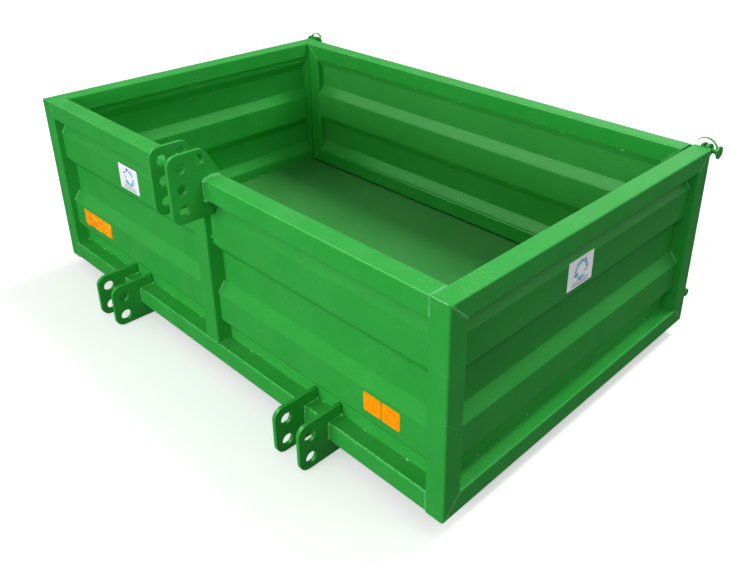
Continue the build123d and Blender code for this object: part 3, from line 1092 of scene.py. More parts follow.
class WeldSet:
    """The beads of one sub-assembly, merged into one piece.

    Attributes:
        width_share: a fillet's half width as a share of its leg.
        height_share: how far it stands out, as a share of its leg.
    """

    width_share: float = 0.72
    height_share: float = 0.62

    def __init__(self, name: str, body: Body, seed: int) -> None:
        """Starts an empty set.

        Args:
            name: the piece's name.
            body: the body it rides on.
            seed: fixes the beads' noise.
        """
        self.name, self.body, self.seed = name, body, seed
        self.beads: List[Bead] = []

    def seam(self, start: Sequence[float], end: Sequence[float], out: Sequence[float],
             half_width: float, height: float) -> None:
        """Adds a flat bead over a butt joint.

        Args:
            start: first point.
            end: last point.
            out: unit vector out of the surface.
            half_width: half its width.
            height: how far it stands out.
        """
        a, b, n = (np.array(v, dtype=float) for v in (start, end, out))
        across = np.cross(b - a, n)
        across /= np.linalg.norm(across)
        self.beads.append(Bead(a, b, n, across, half_width, height))

    def mitre(self, corner: Sequence[float], inward: Sequence[float], tube: float,
              out: Sequence[float], height: float) -> None:
        """Adds a seam over a mitre, from just inside a frame's corner to the tubes' inner corner.

        Args:
            corner: the frame's outer corner.
            inward: which way the frame lies, as a sign on each axis.
            tube: the tubes' width.
            out: unit vector out of the surface.
            height: how far the seam stands out.
        """
        inset, half_width = 0.004, 0.0030
        place, way = np.array(corner, dtype=float), np.array(inward, dtype=float)
        self.seam(place + way * inset, place + way * tube, out, half_width, height)

    def fillet(self, start: Sequence[float], end: Sequence[float], first: Sequence[float],
               second: Sequence[float], leg: float) -> None:
        """Adds a bead in the corner of two faces.

        Args:
            start: first point of the corner.
            end: last point of the corner.
            first: unit vector out of one face.
            second: unit vector out of the other.
            leg: the bead's leg on each face.
        """
        a, b, m, n = (np.array(v, dtype=float) for v in (start, end, first, second))
        out = (m + n) / np.linalg.norm(m + n)
        across = (m - n) / np.linalg.norm(m - n)
        self.beads.append(Bead(a, b, out, across, leg * self.width_share, leg * self.height_share,
                               pitch=0.0046))

    def stitches(self, start: Sequence[float], end: Sequence[float], first: Sequence[float],
                 second: Sequence[float], count: int, length: float, leg: float) -> None:
        """Adds short fillets spaced along a corner, each a little off its even place.

        Args:
            start: first point of the corner.
            end: last point of the corner.
            first: unit vector out of one face.
            second: unit vector out of the other.
            count: how many stitches.
            length: length of a stitch.
            leg: its leg.
        """
        a, b = np.array(start, dtype=float), np.array(end, dtype=float)
        total = float(np.linalg.norm(b - a))
        way = (b - a) / total
        rng = np.random.default_rng(self.seed * 31 + len(self.beads))
        stray = 0.012
        middles = (np.arange(count) + 0.5) / count * total + rng.uniform(-stray, stray, count)
        lengths = length * rng.uniform(0.7, 1.2, count)
        for middle, half in zip(middles, lengths / 2):
            self.fillet(a + way * (middle - half), a + way * (middle + half), first, second, leg)

    def dot(self, place: Sequence[float], out: Sequence[float], size: float) -> None:
        """Adds a round blob of weld metal.

        Args:
            place: its middle.
            out: vector that it stands out along, across the box's x.
            size: its radius.
        """
        middle, n, across = (np.array(v, dtype=float) for v in (place, out, X_AXIS))
        reach = np.cross(n, across) * size
        self.beads.append(Bead(middle - reach, middle + reach, n, across, size, size * 0.8, pitch=0.02))

    def build(self, finishes: Finishes) -> bpy.types.Object:
        """Merges the beads into one painted piece.

        Args:
            finishes: the box's materials.

        Returns:
            The piece.
        """
        shell = Shell()
        for number, bead in enumerate(self.beads):
            shell.add(*bead.surface(self.seed * 100 + number))
        return new_piece(self.name, shell, finishes.weld, self.body, sharp_degrees=180)


# ---- films ----------------------------------------------------------------------------


def rounded_rectangle(u: Array, v: Array, width: float, height: float, radius: float
                      ) -> Tuple[Array, Array]:
    """Maps a square grid onto a rectangle with round corners.

    Points beyond the corner circles' centres are drawn in until the larger of their two
    offsets becomes their distance from the centre.

    Args:
        u: places between -1 and 1.
        v: places between -1 and 1.
        width: the rectangle's width.
        height: its height.
        radius: its corner radius.

    Returns:
        x and y of each point.
    """
    x, y = u * width / 2, v * height / 2
    inner_x = np.clip(x, -(width / 2 - radius), width / 2 - radius)
    inner_y = np.clip(y, -(height / 2 - radius), height / 2 - radius)
    dx, dy = x - inner_x, y - inner_y
    far = np.maximum(np.hypot(dx, dy), 1e-12)
    cornered = (np.abs(dx) > 0) & (np.abs(dy) > 0)
    shrink = np.where(cornered, np.maximum(np.abs(dx), np.abs(dy)) / far, 1.0)
    return inner_x + dx * shrink, inner_y + dy * shrink


@dataclass
class Film:
    """A thin stuck-on film: a grid with round corners, a lip all round and a closed back.

    Attributes:
        low: lowest corner of its place.
        high: highest corner of its place.
        out: the axis it faces, 0 for X and 1 for Y.
        sign: which way it faces on that axis.
        radius: its corner radius.
        lift: greatest height of bubbles and creases.
        seed: fixes them.
        cells: grid intervals each way.
    """

    low: Array
    high: Array
    out: int
    sign: int
    radius: float
    lift: float
    seed: int
    cells: int = 36

    def add_to(self, shell: Shell) -> Array:
        """Adds the film to a shell.

        Height is the thickness plus bubbles, which are the positive part of a sum of crossed
        waves with seeded phases, times a mask that holds the rim down.

        Args:
            shell: the shell that grows.

        Returns:
            (n, 2) UV places, for the points added.
        """
        flat = 1 - self.out
        width, height = self.high[flat] - self.low[flat], self.high[2] - self.low[2]
        side = self.cells + 1
        line = np.linspace(-1, 1, side)
        v, u = np.meshgrid(line, line, indexing="ij")
        x, y = rounded_rectangle(u, v, width, height, self.radius)
        phase = np.random.default_rng(self.seed).uniform(0, 2 * np.pi, 4)
        wave = (np.sin(3.1 * u + 1.4 * v + phase[0]) * np.sin(2.3 * v - 0.8 * u + phase[1])
                + 0.6 * np.sin(5.0 * v + 1.1 * u + phase[2]) + 0.3 * np.sin(7.0 * u + phase[3]))
        mask = (1 - u ** 4) * (1 - v ** 4)
        thickness = self.high[self.out] - self.low[self.out]
        tall = thickness + self.lift * np.clip(wave, 0, 2) * mask
        base = self.low[self.out] if self.sign > 0 else self.high[self.out]
        centre = (self.low + self.high) / 2

        def placed(rise: Array) -> Array:
            """Places of the grid's points at a height above the base.

            Args:
                rise: the height of each point.

            Returns:
                (n, 3) places.
            """
            points = np.zeros((rise.size, 3))
            points[:, flat] = (centre[flat] + x).ravel()
            points[:, 2] = (centre[2] + y).ravel()
            points[:, self.out] = (base + self.sign * rise).ravel()
            return points

        top, back = placed(tall), placed(np.zeros_like(tall))
        count = side * side
        faces = grid_quads(side, side)
        step = np.arange(side)
        rim = np.concatenate([step[:-1], step[:-1] * side + self.cells,
                              self.cells * side + step[:0:-1], step[:0:-1] * side])
        after = np.roll(rim, -1)
        lip = np.stack([rim, after, after + count, rim + count], axis=-1)
        shell.add(np.vstack([top, back]), np.vstack([faces, faces[:, ::-1] + count, lip]))
        face_u = -u if (self.out == 1) == (self.sign > 0) else u
        uv = np.stack([(face_u + 1) / 2, (v + 1) / 2], axis=-1).reshape(-1, 2)
        return np.vstack([uv, uv])


def give_uv(piece: bpy.types.Object, uv: Array) -> None:
    """Writes the UV map that the labels' prints read, from one place per vertex.

    Args:
        piece: the piece.
        uv: (n, 2) places.
    """
    layer = piece.data.uv_layers.new(name=UV_NAME)
    corner = np.zeros(len(piece.data.loops), dtype=np.int64)
    piece.data.loops.foreach_get("vertex_index", corner)
    layer.data.foreach_set("uv", uv[corner].ravel())


# ---- sub-assemblies -------------------------------------------------------------------


@dataclass(frozen=True)
class TubeFrame:
    """Places of the tube frame that the sub-assemblies share.

    Attributes:
        outer_x: outer face of the right side.
        inner_x: its inner face.
        front: y of the front faces.
        rear: y of the posts' rear faces.
        top: top of the top rails.
        bottom: underside of the bottom rails.
        tube: side of the square tube.
    """

    outer_x: float
    inner_x: float
    front: float
    rear: float
    top: float
    bottom: float
    tube: float = 0.050

    @classmethod
    def read(cls) -> "TubeFrame":
        """Reads the places from the CAD nodes.

        Returns:
            The frame.
        """
        low, high = (corner.tolist() for corner in node_box("right_top_rail"))
        bottom = float(node_box("right_bottom_rail")[0][2])
        return cls(high[0], low[0], low[1], high[1], high[2], bottom)

    @property
    def low_rail_top(self) -> float:
        """Top of the bottom rails."""
        return self.bottom + self.tube

    @property
    def high_rail_bottom(self) -> float:
        """Underside of the top rails."""
        return self.top - self.tube


def dress(material: bpy.types.Material, *nodes: str) -> List[bpy.types.Object]:
    """Gives CAD nodes their finish.

    Args:
        material: the finish.
        nodes: the nodes' names.

    Returns:
        The nodes' objects.
    """
    pieces = [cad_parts[node] for node in nodes]
    for piece in pieces:
        piece.data.materials.clear()
        piece.data.materials.append(material)
    return pieces


def sheet_end_welds(welds: WeldSet, sheet: RolledSheet, half_width: float) -> None:
    """Lays a bead down each slope that looks up, at both ends of a sheet's outer face.

    Args:
        welds: the set that the beads join.
        sheet: the sheet.
        half_width: half width of the beads.
    """
    low, high = node_box(sheet.node)
    corners = sheet.corners(high[2] - low[2])
    length = high[sheet.along] - low[sheet.along]
    for end, inward in ((0.0, 1), (length, -1)):
        for start, stop in zip(corners[:-1], corners[1:]):
            if stop[0] <= start[0]:
                continue
            normal, away = np.zeros(3), np.zeros(3)
            normal[1 - sheet.along] = sheet.outward * (stop[1] - start[1])
            normal[2] = stop[0] - start[0]
            away[sheet.along] = inward
            welds.fillet(sheet.place(np.array(end), *start), sheet.place(np.array(end), *stop),
                         normal / np.linalg.norm(normal), away, half_width / welds.width_share)


def barrel_welds(welds: WeldSet, node: str, face_y: float) -> None:
    """Lays a fillet above and below a hinge barrel, against the tube that carries it.

    Args:
        welds: the set that the beads join.
        node: the barrel.
        face_y: the tube's rear face.
    """
    end_gap, root_y, root_share = 0.003, face_y + 0.001, 0.62
    low, high = node_box(node)
    radius, middle = (high[2] - low[2]) / 2, (high[2] + low[2]) / 2
    for face in (1, -1):
        z = middle + face * radius * root_share
        welds.fillet((low[0] + end_gap, root_y, z), (high[0] - end_gap, root_y, z),
                     (0, 0.7, 0), (0, 0.3, face * 0.9), leg=0.0045)


@dataclass
class SubAssembly:
    """What every welded sub-assembly works from.

    Attributes:
        sizes: the frame's places.
        finishes: the box's materials.
    """

    sizes: TubeFrame
    finishes: Finishes


@dataclass
class SideFrame(SubAssembly):
    """One side: four mitred tubes, the rolled wall sheet and their welds.

    Attributes:
        side: which side it is.
        mitre_height: how far the mitre seams stand out.
        slope_bead: half width of the beads on the sheet's slopes.
        edge_bead: half width and height of the seams over the frame's outer corners.
        end_margin: how far the stitches stay clear of the posts' outer faces.
    """

    side: Side
    mitre_height: float = 0.00035
    slope_bead: float = 0.0040
    edge_bead: Tuple[float, float] = (0.0014, 0.0005)
    end_margin: float = 0.06

    def build(self) -> List[bpy.types.Object]:
        """Dresses the tubes and makes the sheet and the welds.

        Returns:
            The pieces.
        """
        word, n = self.side.word, self.side.value
        tubes = self.side.nodes("top_rail", "bottom_rail", "front_post", "rear_post")
        sheet = RolledSheet(f"{word}_wall_sheet", Body.BOX, along=1, outward=n, seed=20 + n)
        return [*dress(self.finishes.tube, *tubes), sheet.build(self.finishes), self.welds(sheet)]

    def welds(self, sheet: RolledSheet) -> bpy.types.Object:
        """Mitre seams, the sheet's edge welds and its stitches.

        Args:
            sheet: the side's rolled sheet.

        Returns:
            The welds' piece.
        """
        s, n = self.sizes, self.side.value
        welds = WeldSet(f"{self.side.word}_side_welds", Body.BOX, 3 + n)
        for y, dy in ((s.front, 1), (s.rear, -1)):
            for z, dz in ((s.bottom, 1), (s.top, -1)):
                for x, face in ((s.outer_x, n), (s.inner_x, -n)):
                    welds.mitre((n * x, y, z), (0, dy, dz), s.tube, (face, 0, 0), self.mitre_height)
                edge = np.array((0, -dy, -dz)) / math.sqrt(2)
                welds.seam((n * (s.inner_x + 0.003), y, z), (n * (s.outer_x - 0.004), y, z), edge,
                           *self.edge_bead)
        sheet_end_welds(welds, sheet, self.slope_bead)
        first, last = s.front + self.end_margin, s.rear - self.end_margin
        outer, inner = sheet.flat(), sheet.flat(sheet.thickness)
        welds.stitches((outer, first, s.low_rail_top), (outer, last, s.low_rail_top),
                       (n, 0, 0), UP, count=5, length=0.010, leg=0.0042)
        welds.stitches((inner, first, s.high_rail_bottom), (inner, last, s.high_rail_bottom),
                       (-n, 0, 0), DOWN, count=9, length=0.018, leg=0.003)
        return welds.build(self.finishes)


@dataclass
class FrontWall(SubAssembly):
    """The front: rails, middle post, two rolled sheets and their welds.

    Attributes:
        groove: distance from a side frame's inner face to the middle of the groove
            between the two tubes' round corners.
        face_sink: how far a corner seam's root lies behind the front faces.
        crest_sink: how far it lies below a rail's top.
        slope_bead: half width of the beads on the sheets' slopes.
        post_leg: leg of the fillets at the middle post.
        end_margin: how far the stitches stay clear of the sheets' ends.
    """

    groove: float = 0.0018
    face_sink: float = 0.0012
    crest_sink: float = 0.0008
    slope_bead: float = 0.0044
    post_leg: float = 0.0036
    end_margin: float = 0.02

    def build(self) -> List[bpy.types.Object]:
        """Dresses the tubes and makes the sheets and the welds.

        Returns:
            The pieces.
        """
        tubes = dress(self.finishes.tube, "front_top_rail", "front_bottom_rail", "front_middle_post")
        sheets = [RolledSheet(f"{side.word}_front_sheet", Body.BOX, along=0, outward=-1,
                              seed=40 + side.value) for side in Side]
        rolled = [sheet.build(self.finishes) for sheet in sheets]
        welds = WeldSet("front_wall_welds", Body.BOX, 11)
        for side in Side:
            self.corner_welds(welds, side.value)
            self.post_welds(welds, side.value)
        s = self.sizes
        half = s.tube / 2 - 0.004
        for z in (s.low_rail_top, s.high_rail_bottom):
            welds.seam((-half, s.front, z), (half, s.front, z), AHEAD, half_width=0.0022, height=0.0007)
        for sheet in sheets:
            self.sheet_welds(welds, sheet)
        return [*tubes, *rolled, welds.build(self.finishes)]

    def corner_welds(self, welds: WeldSet, n: int) -> None:
        """Seams where the rails meet a side frame, with blobs at their ends.

        Args:
            welds: the set that the beads join.
            n: sign of the side.
        """
        s = self.sizes
        x = n * s.inner_x
        root = x + n * self.groove
        for low, high in ((s.bottom, s.low_rail_top), (s.high_rail_bottom, s.top)):
            face, crest = s.front + self.face_sink, high - self.crest_sink
            welds.seam((root, face, low + 0.002), (root, face, high - 0.002), AHEAD,
                       half_width=0.0036, height=0.0014)
            welds.seam((root, s.front + 0.002, crest), (root, s.front + s.tube - 0.003, crest), UP,
                       half_width=0.0038, height=0.0018)
        welds.dot((x, s.front + 0.002, s.top - 0.001), AHEAD_UP, size=0.0034)
        welds.dot((x, s.front + 0.003, s.low_rail_top - 0.001), AHEAD_UP, size=0.0042)
        welds.dot((x - n * 0.003, s.front + 0.038, s.low_rail_top + 0.002), AHEAD_UP, size=0.0046)

    def post_welds(self, welds: WeldSet, n: int) -> None:
        """Fillets at one side of the middle post, and blobs beside it.

        Args:
            welds: the set that the beads join.
            n: sign of the side.
        """
        s = self.sizes
        x = n * s.tube / 2
        beside = x + n * 0.003
        for z, end, face in ((s.low_rail_top, 0.038, UP), (s.high_rail_bottom, 0.036, DOWN)):
            welds.fillet((x, s.front + 0.006, z), (x, s.front + end, z), (n, 0, 0), face,
                         leg=self.post_leg)
        welds.dot((beside, s.front + 0.037, s.high_rail_bottom - 0.012), AHEAD, size=0.0042)
        welds.dot((beside, s.front + 0.016, s.high_rail_bottom - 0.102), AHEAD, size=0.0036)

    def sheet_welds(self, welds: WeldSet, sheet: RolledSheet) -> None:
        """Edge welds and stitches of one sheet.

        Args:
            welds: the set that the beads join.
            sheet: the sheet.
        """
        s = self.sizes
        sheet_end_welds(welds, sheet, self.slope_bead)
        low, high = node_box(sheet.node)
        first, last = low[0] + self.end_margin, high[0] - self.end_margin
        outer, inner = sheet.flat(), sheet.flat(sheet.thickness)
        welds.stitches((first, outer, s.low_rail_top), (last, outer, s.low_rail_top),
                       AHEAD, UP, count=5, length=0.011, leg=0.0042)
        welds.stitches((first, inner, s.high_rail_bottom), (last, inner, s.high_rail_bottom),
                       BACK, DOWN, count=6, length=0.016, leg=0.003)


@dataclass
class FloorPan(SubAssembly):
    """Rear sill, floor sheet, crossmember and runners, with their welds.

    Attributes:
        stitch_length: length of the stitches round the floor.
        stitch_leg: their leg.
        tube_leg: leg of the fillets between tubes.
        runner_run: length of the fillets along the runners.
    """

    stitch_length: float = 0.016
    stitch_leg: float = 0.0035
    tube_leg: float = 0.004
    runner_run: float = 0.030

    def build(self) -> List[bpy.types.Object]:
        """Dresses the nodes and lays the welds.

        Returns:
            The pieces.
        """
        pieces = dress(self.finishes.floor, "floor_sheet")
        pieces += dress(self.finishes.tube, "rear_sill", "floor_crossmember", "left_runner",
                        "right_runner")
        s = self.sizes
        low, high = node_box("floor_sheet")
        welds = WeldSet("floor_welds", Body.BOX, 17)
        for side in Side:
            n = side.value
            wall_x = n * (high[0] - 0.001)
            welds.stitches((wall_x, s.front + 0.07, high[2]), (wall_x, s.rear - 0.07, high[2]),
                           (-n, 0, 0), UP, 6, self.stitch_length, self.stitch_leg)
            self.tube_welds(welds, n)
        sill_y, reach = low[1] + 0.0005, s.inner_x - 0.05
        welds.stitches((-reach, sill_y, high[2]), (reach, sill_y, high[2]),
                       BACK, UP, 8, self.stitch_length, self.stitch_leg)
        return [*pieces, welds.build(self.finishes)]

    def tube_welds(self, welds: WeldSet, n: int) -> None:
        """Welds of the sill, the crossmember and the runner at one side.

        Args:
            welds: the set that the beads join.
            n: sign of the side.
        """
        s = self.sizes
        x = n * s.inner_x
        welds.seam((x, s.rear, s.bottom + 0.004), (x, s.rear, s.low_rail_top - 0.004), BACK,
                   half_width=0.0024, height=0.0009)
        bar_low, bar_high = node_box("floor_crossmember")
        for y, face in ((bar_low[1], -1), (bar_high[1], 1)):
            welds.fillet((x, y, s.bottom + 0.006), (x, y, s.low_rail_top - 0.006), (-n, 0, 0),
                         (0, face, 0), leg=self.tube_leg)
        run_low, run_high = node_box("right_runner")
        half = self.runner_run / 2
        for edge, face in ((run_low[0], -1), (run_high[0], 1)):
            for y in (s.front + 0.032, s.rear - 0.032, float(bar_low[1] + bar_high[1]) / 2):
                welds.fillet((n * edge, y - half, s.bottom), (n * edge, y + half, s.bottom),
                             (n * face, 0, 0), DOWN, leg=self.tube_leg)


@dataclass
class Hitch(SubAssembly):
    """The lower clevises and the top link clevis, with softened edges and fillet welds.

    Attributes:
        edge_rounding: width of the rounding on the plates' edges.
        plate_leg: leg of the lower plates' fillets.
        outer_top_leg: leg of the fillets over the top rail outside the clevis.
        inner_top_leg: the same inside it.
    """

    edge_rounding: float = 0.0011
    plate_leg: float = 0.0045
    outer_top_leg: float = 0.0105
    inner_top_leg: float = 0.0070

    def build(self) -> List[bpy.types.Object]:
        """Makes the plates and their welds.

        Returns:
            The pieces.
        """
        plates = [softened_copy(node, Body.BOX, self.finishes.plate, self.edge_rounding) for side in Side
                  for node in side.nodes("inner_hitch_plate", "outer_hitch_plate", "top_link_plate")]
        lower = [self.lower_welds(side) for side in Side]
        return [*plates, *lower, self.top_welds()]

    def lower_welds(self, side: Side) -> bpy.types.Object:
        """Fillets where each lower plate crosses the bottom rail, ending in blobs.

        Args:
            side: which clevis.

        Returns:
            The welds' piece.
        """
        s, leg = self.sizes, self.plate_leg
        welds = WeldSet(f"{side.word}_lower_hitch_welds", Body.BOX, 23 + side.value)
        for node in side.nodes("inner_hitch_plate", "outer_hitch_plate"):
            low, high = node_box(node)
            for x, face in ((low[0], -1), (high[0], 1)):
                aside = (face, 0, 0)
                beside = x + face * 0.002
                welds.fillet((x, s.front, s.bottom + 0.004), (x, s.front, s.low_rail_top - 0.004),
                             aside, AHEAD, leg)
                for z, start, end, face_way in ((s.low_rail_top, 0.004, 0.036, UP),
                                                (s.bottom, 0.006, 0.046, DOWN)):
                    welds.fillet((x, s.front + start, z), (x, s.front + end, z), aside, face_way, leg)
                welds.dot((beside, s.front + 0.002, s.low_rail_top - 0.001), AHEAD_UP, size=0.0052)
                welds.dot((beside, s.front + 0.037, s.low_rail_top + 0.002), (0, -0.5, 0.85),
                          size=0.0048)
        return welds.build(self.finishes)

    def top_welds(self) -> bpy.types.Object:
        """Thick fillets over the top rail and thinner ones round it, ending in blobs.

        Returns:
            The welds' piece.
        """
        s = self.sizes
        welds = WeldSet("top_link_welds", Body.BOX, 29)
        for side in Side:
            low, high = node_box(f"{side.word}_top_link_plate")
            for x, face in ((low[0], -1), (high[0], 1)):
                aside = (face, 0, 0)
                beside = x + face * 0.003
                outside = face == side.value
                leg, blob = (self.outer_top_leg, 0.0070) if outside else (self.inner_top_leg, 0.005)
                welds.fillet((x, s.front + 0.001, s.top), (x, s.front + s.tube - 0.002, s.top),
                             aside, UP, leg)
                welds.fillet((x, s.front, s.high_rail_bottom + 0.005), (x, s.front, s.top - 0.004),
                             aside, AHEAD, leg=0.0040)
                welds.fillet((x, s.front + 0.002, s.high_rail_bottom),
                             (x, s.front + 0.015, s.high_rail_bottom), aside, DOWN, leg=0.0045)
                welds.dot((beside, s.front + 0.001, s.top - 0.002), AHEAD_UP, size=blob)
                welds.dot((beside, s.front + 0.002, s.high_rail_bottom + 0.001), (0, -0.7, -0.7),
                          size=0.0062)
        return welds.build(self.finishes)


@dataclass
class Tailgate(SubAssembly):
    """The gate: four mitred tubes, its rolled sheet, barrels, straps and welds.

    Attributes:
        rib_rise: middles of the sheet's ribs above its lower edge.
        edge_rounding: width of the rounding on the fittings' edges.
        mitre_height: how far the mitre seams stand out.
        slope_bead: half width of the beads on the sheet's slopes.
        strap_height: height of a lock strap.
        strap_length: length of its fillets, 3 mm from its end.
        strap_leg: leg of its fillets.
        margin: how far the stitches stay clear of the sheet's corners.
    """

    rib_rise: Tuple[float, float] = (0.070, 0.283)
    edge_rounding: float = 0.0008
    mitre_height: float = 0.0005
    slope_bead: float = 0.0036
    strap_height: float = 0.016
    strap_length: float = 0.054
    strap_leg: float = 0.0042
    margin: float = 0.01

    def build(self) -> List[bpy.types.Object]:
        """Dresses and makes the gate's pieces.

        Returns:
            The pieces.
        """
        tubes = dress(self.finishes.tube, "gate_top_rail", "gate_bottom_rail", "gate_left_stile",
                      "gate_right_stile")
        sheet = RolledSheet("gate_sheet", Body.TAILGATE, along=0, outward=1, rib_rise=self.rib_rise,
                            seed=61)
        rolled = sheet.build(self.finishes)
        fittings = [softened_copy(node, Body.TAILGATE, self.finishes.small, self.edge_rounding)
                    for side in Side for node in side.nodes("gate_hinge_barrel", "gate_lock_tab")]
        welds = WeldSet("tailgate_welds", Body.TAILGATE, 37)
        low, high = (corner.tolist() for corner in node_box("gate_top_rail"))
        bottom = float(node_box("gate_bottom_rail")[0][2])
        for x, dx in ((low[0], 1), (high[0], -1)):
            for z, dz in ((bottom, 1), (high[2], -1)):
                for y, face in ((low[1], AHEAD), (high[1], BACK)):
                    welds.mitre((x, y, z), (dx, 0, dz), self.sizes.tube, face, self.mitre_height)
        sheet_end_welds(welds, sheet, self.slope_bead)
        self.sheet_stitches(welds)
        for side in Side:
            barrel_welds(welds, f"{side.word}_gate_hinge_barrel", high[1])
            self.strap_welds(welds, side, high[1])
        return [*tubes, rolled, *fittings, welds.build(self.finishes)]

    def sheet_stitches(self, welds: WeldSet) -> None:
        """Stitches round the sheet's inner face.

        Args:
            welds: the set that the beads join.
        """
        low, high = node_box("gate_sheet")
        inner, margin = float(low[1]), self.margin
        for z, face in ((low[2], UP), (high[2], DOWN)):
            welds.stitches((low[0] + margin, inner, z), (high[0] - margin, inner, z), AHEAD, face,
                           count=7, length=0.014, leg=0.003)
        for x, sign in ((low[0], 1), (high[0], -1)):
            welds.stitches((x, inner, low[2] + margin), (x, inner, high[2] - margin), AHEAD,
                           (sign, 0, 0), count=4, length=0.016, leg=0.003)

    def strap_welds(self, welds: WeldSet, side: Side, rear: float) -> None:
        """Fillets above and below a lock strap.

        Args:
            welds: the set that the beads join.
            side: which strap.
            rear: the gate tubes' rear face.
        """
        low, high = node_box(f"{side.word}_gate_lock_tab")
        n = side.value
        start = n * min(abs(low[0]), abs(high[0])) + n * 0.003
        end = start + n * self.strap_length
        top = (low[2] + high[2]) / 2 + self.strap_height / 2
        for z, face in ((top, UP), (top - self.strap_height, DOWN)):
            welds.fillet((start, rear, z), (end, rear, z), BACK, face, leg=self.strap_leg)


@dataclass
class CornerFittings(SubAssembly):
    """Hinges and locks on the rear posts.

    Attributes:
        barrel_rounding: width of the rounding on the barrels' edges.
        lug_rounding: width of the rounding on the lock lugs' edges.
        lug_leg: leg of the lugs' fillets.
    """

    barrel_rounding: float = 0.0008
    lug_rounding: float = 0.0010
    lug_leg: float = 0.0042

    def build(self) -> List[bpy.types.Object]:
        """Makes the fittings' soft edges, dresses the pins and lays the welds.

        Returns:
            The pieces.
        """
        s, small = self.sizes, self.finishes.small
        welds = WeldSet("corner_fitting_welds", Body.BOX, 43)
        pieces: List[bpy.types.Object] = []
        for side in Side:
            barrel, lug = side.nodes("post_hinge_barrel", "post_lock_lug")
            pieces.append(softened_copy(barrel, Body.BOX, small, self.barrel_rounding))
            pieces.append(softened_copy(lug, Body.BOX, small, self.lug_rounding))
            pieces += dress(small, *side.nodes("hinge_pin", "lock_pin", "lock_pin_clip"))
            barrel_welds(welds, barrel, s.rear)
            low, high = node_box(lug)
            for x, face in ((low[0], -1), (high[0], 1)):
                welds.fillet((x, s.rear, low[2] + 0.003), (x, s.rear, s.top - 0.004), (face, 0, 0), BACK,
                             leg=self.lug_leg)
        return [*pieces, welds.build(self.finishes)]


@dataclass
class Markings:
    """The amber reflectors and the two labels.

    Attributes:
        finishes: the box's materials.
        gap: space between two reflectors.
        film_radius: corner radius of a reflector.
        label_radius: corner radius of a label.
        label_lift: greatest height of a label's ripples.
    """

    finishes: Finishes
    gap: float = 0.003
    film_radius: float = 0.004
    label_radius: float = 0.002
    label_lift: float = 0.0003

    def build(self) -> List[bpy.types.Object]:
        """Makes the films.

        Returns:
            The pieces.
        """
        kit = self.finishes
        return [
            self.reflectors(Side.RIGHT, kit.amber, count=2, lift=0.0003),
            self.reflectors(Side.LEFT, kit.creased_amber, count=3, lift=0.0075),
            self.label("front_label", 1, -1, kit.front_label, 71),
            self.label("side_label", 0, 1, kit.side_label, 72),
        ]

    def reflectors(self, side: Side, material: bpy.types.Material, count: int,
                   lift: float) -> bpy.types.Object:
        """A row of amber films on the lower rib, flat or bubbled.

        Args:
            side: which end of the front wall.
            material: the films' finish.
            count: how many films.
            lift: greatest height of the bubbles.

        Returns:
            The films as one piece.
        """
        node = f"{side.word}_reflectors"
        low, high = node_box(node)
        width = (high[0] - low[0] - self.gap * (count - 1)) / count
        shell = Shell()
        for i in range(count):
            start = low[0] + i * (width + self.gap)
            Film(np.array((start, low[1], low[2])), np.array((start + width, high[1], high[2])),
                 1, -1, self.film_radius, lift, 80 + i + side.value).add_to(shell)
        return new_piece(f"{side.word}_reflector_films", shell, material, Body.BOX, 50, node)

    def label(self, node: str, out: int, sign: int, material: bpy.types.Material,
              seed: int) -> bpy.types.Object:
        """One label film with its own UV map.

        Args:
            node: the CAD node it stands for.
            out: the axis it faces.
            sign: which way on that axis.
            material: its print.
            seed: fixes its small ripples.

        Returns:
            The film.
        """
        low, high = node_box(node)
        shell = Shell()
        uv = Film(low, high, out, sign, self.label_radius, self.label_lift, seed).add_to(shell)
        piece = new_piece(node + "_film", shell, material, Body.BOX, 50, node)
        give_uv(piece, uv)
        return piece


# ---- studio ---------------------------------------------------------------------------


@dataclass(frozen=True)
class Softbox:
    """A large soft lamp aimed at the box, which neither the camera nor reflections see.

    Attributes:
        name: its name.
        place: where it hangs.
        size: width and height.
        power: in watts.
    """

    name: str
    place: Vec3
    size: Tuple[float, float]
    power: float

    def build(self, target: Vec3) -> None:
        """Hangs the lamp, turned towards target.

        Args:
            target: the place that it lights.
        """
        lamp = bpy.data.lights.new(self.name, "AREA")
        lamp.shape = "RECTANGLE"
        lamp.size, lamp.size_y = self.size
        lamp.energy = self.power
        holder = bpy.data.objects.new(self.name, lamp)
        bpy.context.scene.collection.objects.link(holder)
        way = Vector(target) - Vector(self.place)
        holder.matrix_world = (Matrix.Translation(Vector(self.place))
                               @ way.to_track_quat("-Z", "Y").to_matrix().to_4x4())
        holder.visible_camera = False
        holder.visible_glossy = False


@dataclass(frozen=True)
class Panel:
    """A bright part of the sky that only reflections see.

    Attributes:
        way: unit vector towards its middle.
        edge: dot product with way at which its light begins.
        strength: its light in the middle.
        full: dot product with way from which its light is full.
    """

    way: Vec3
    edge: float
    strength: float
    full: float = 0.985


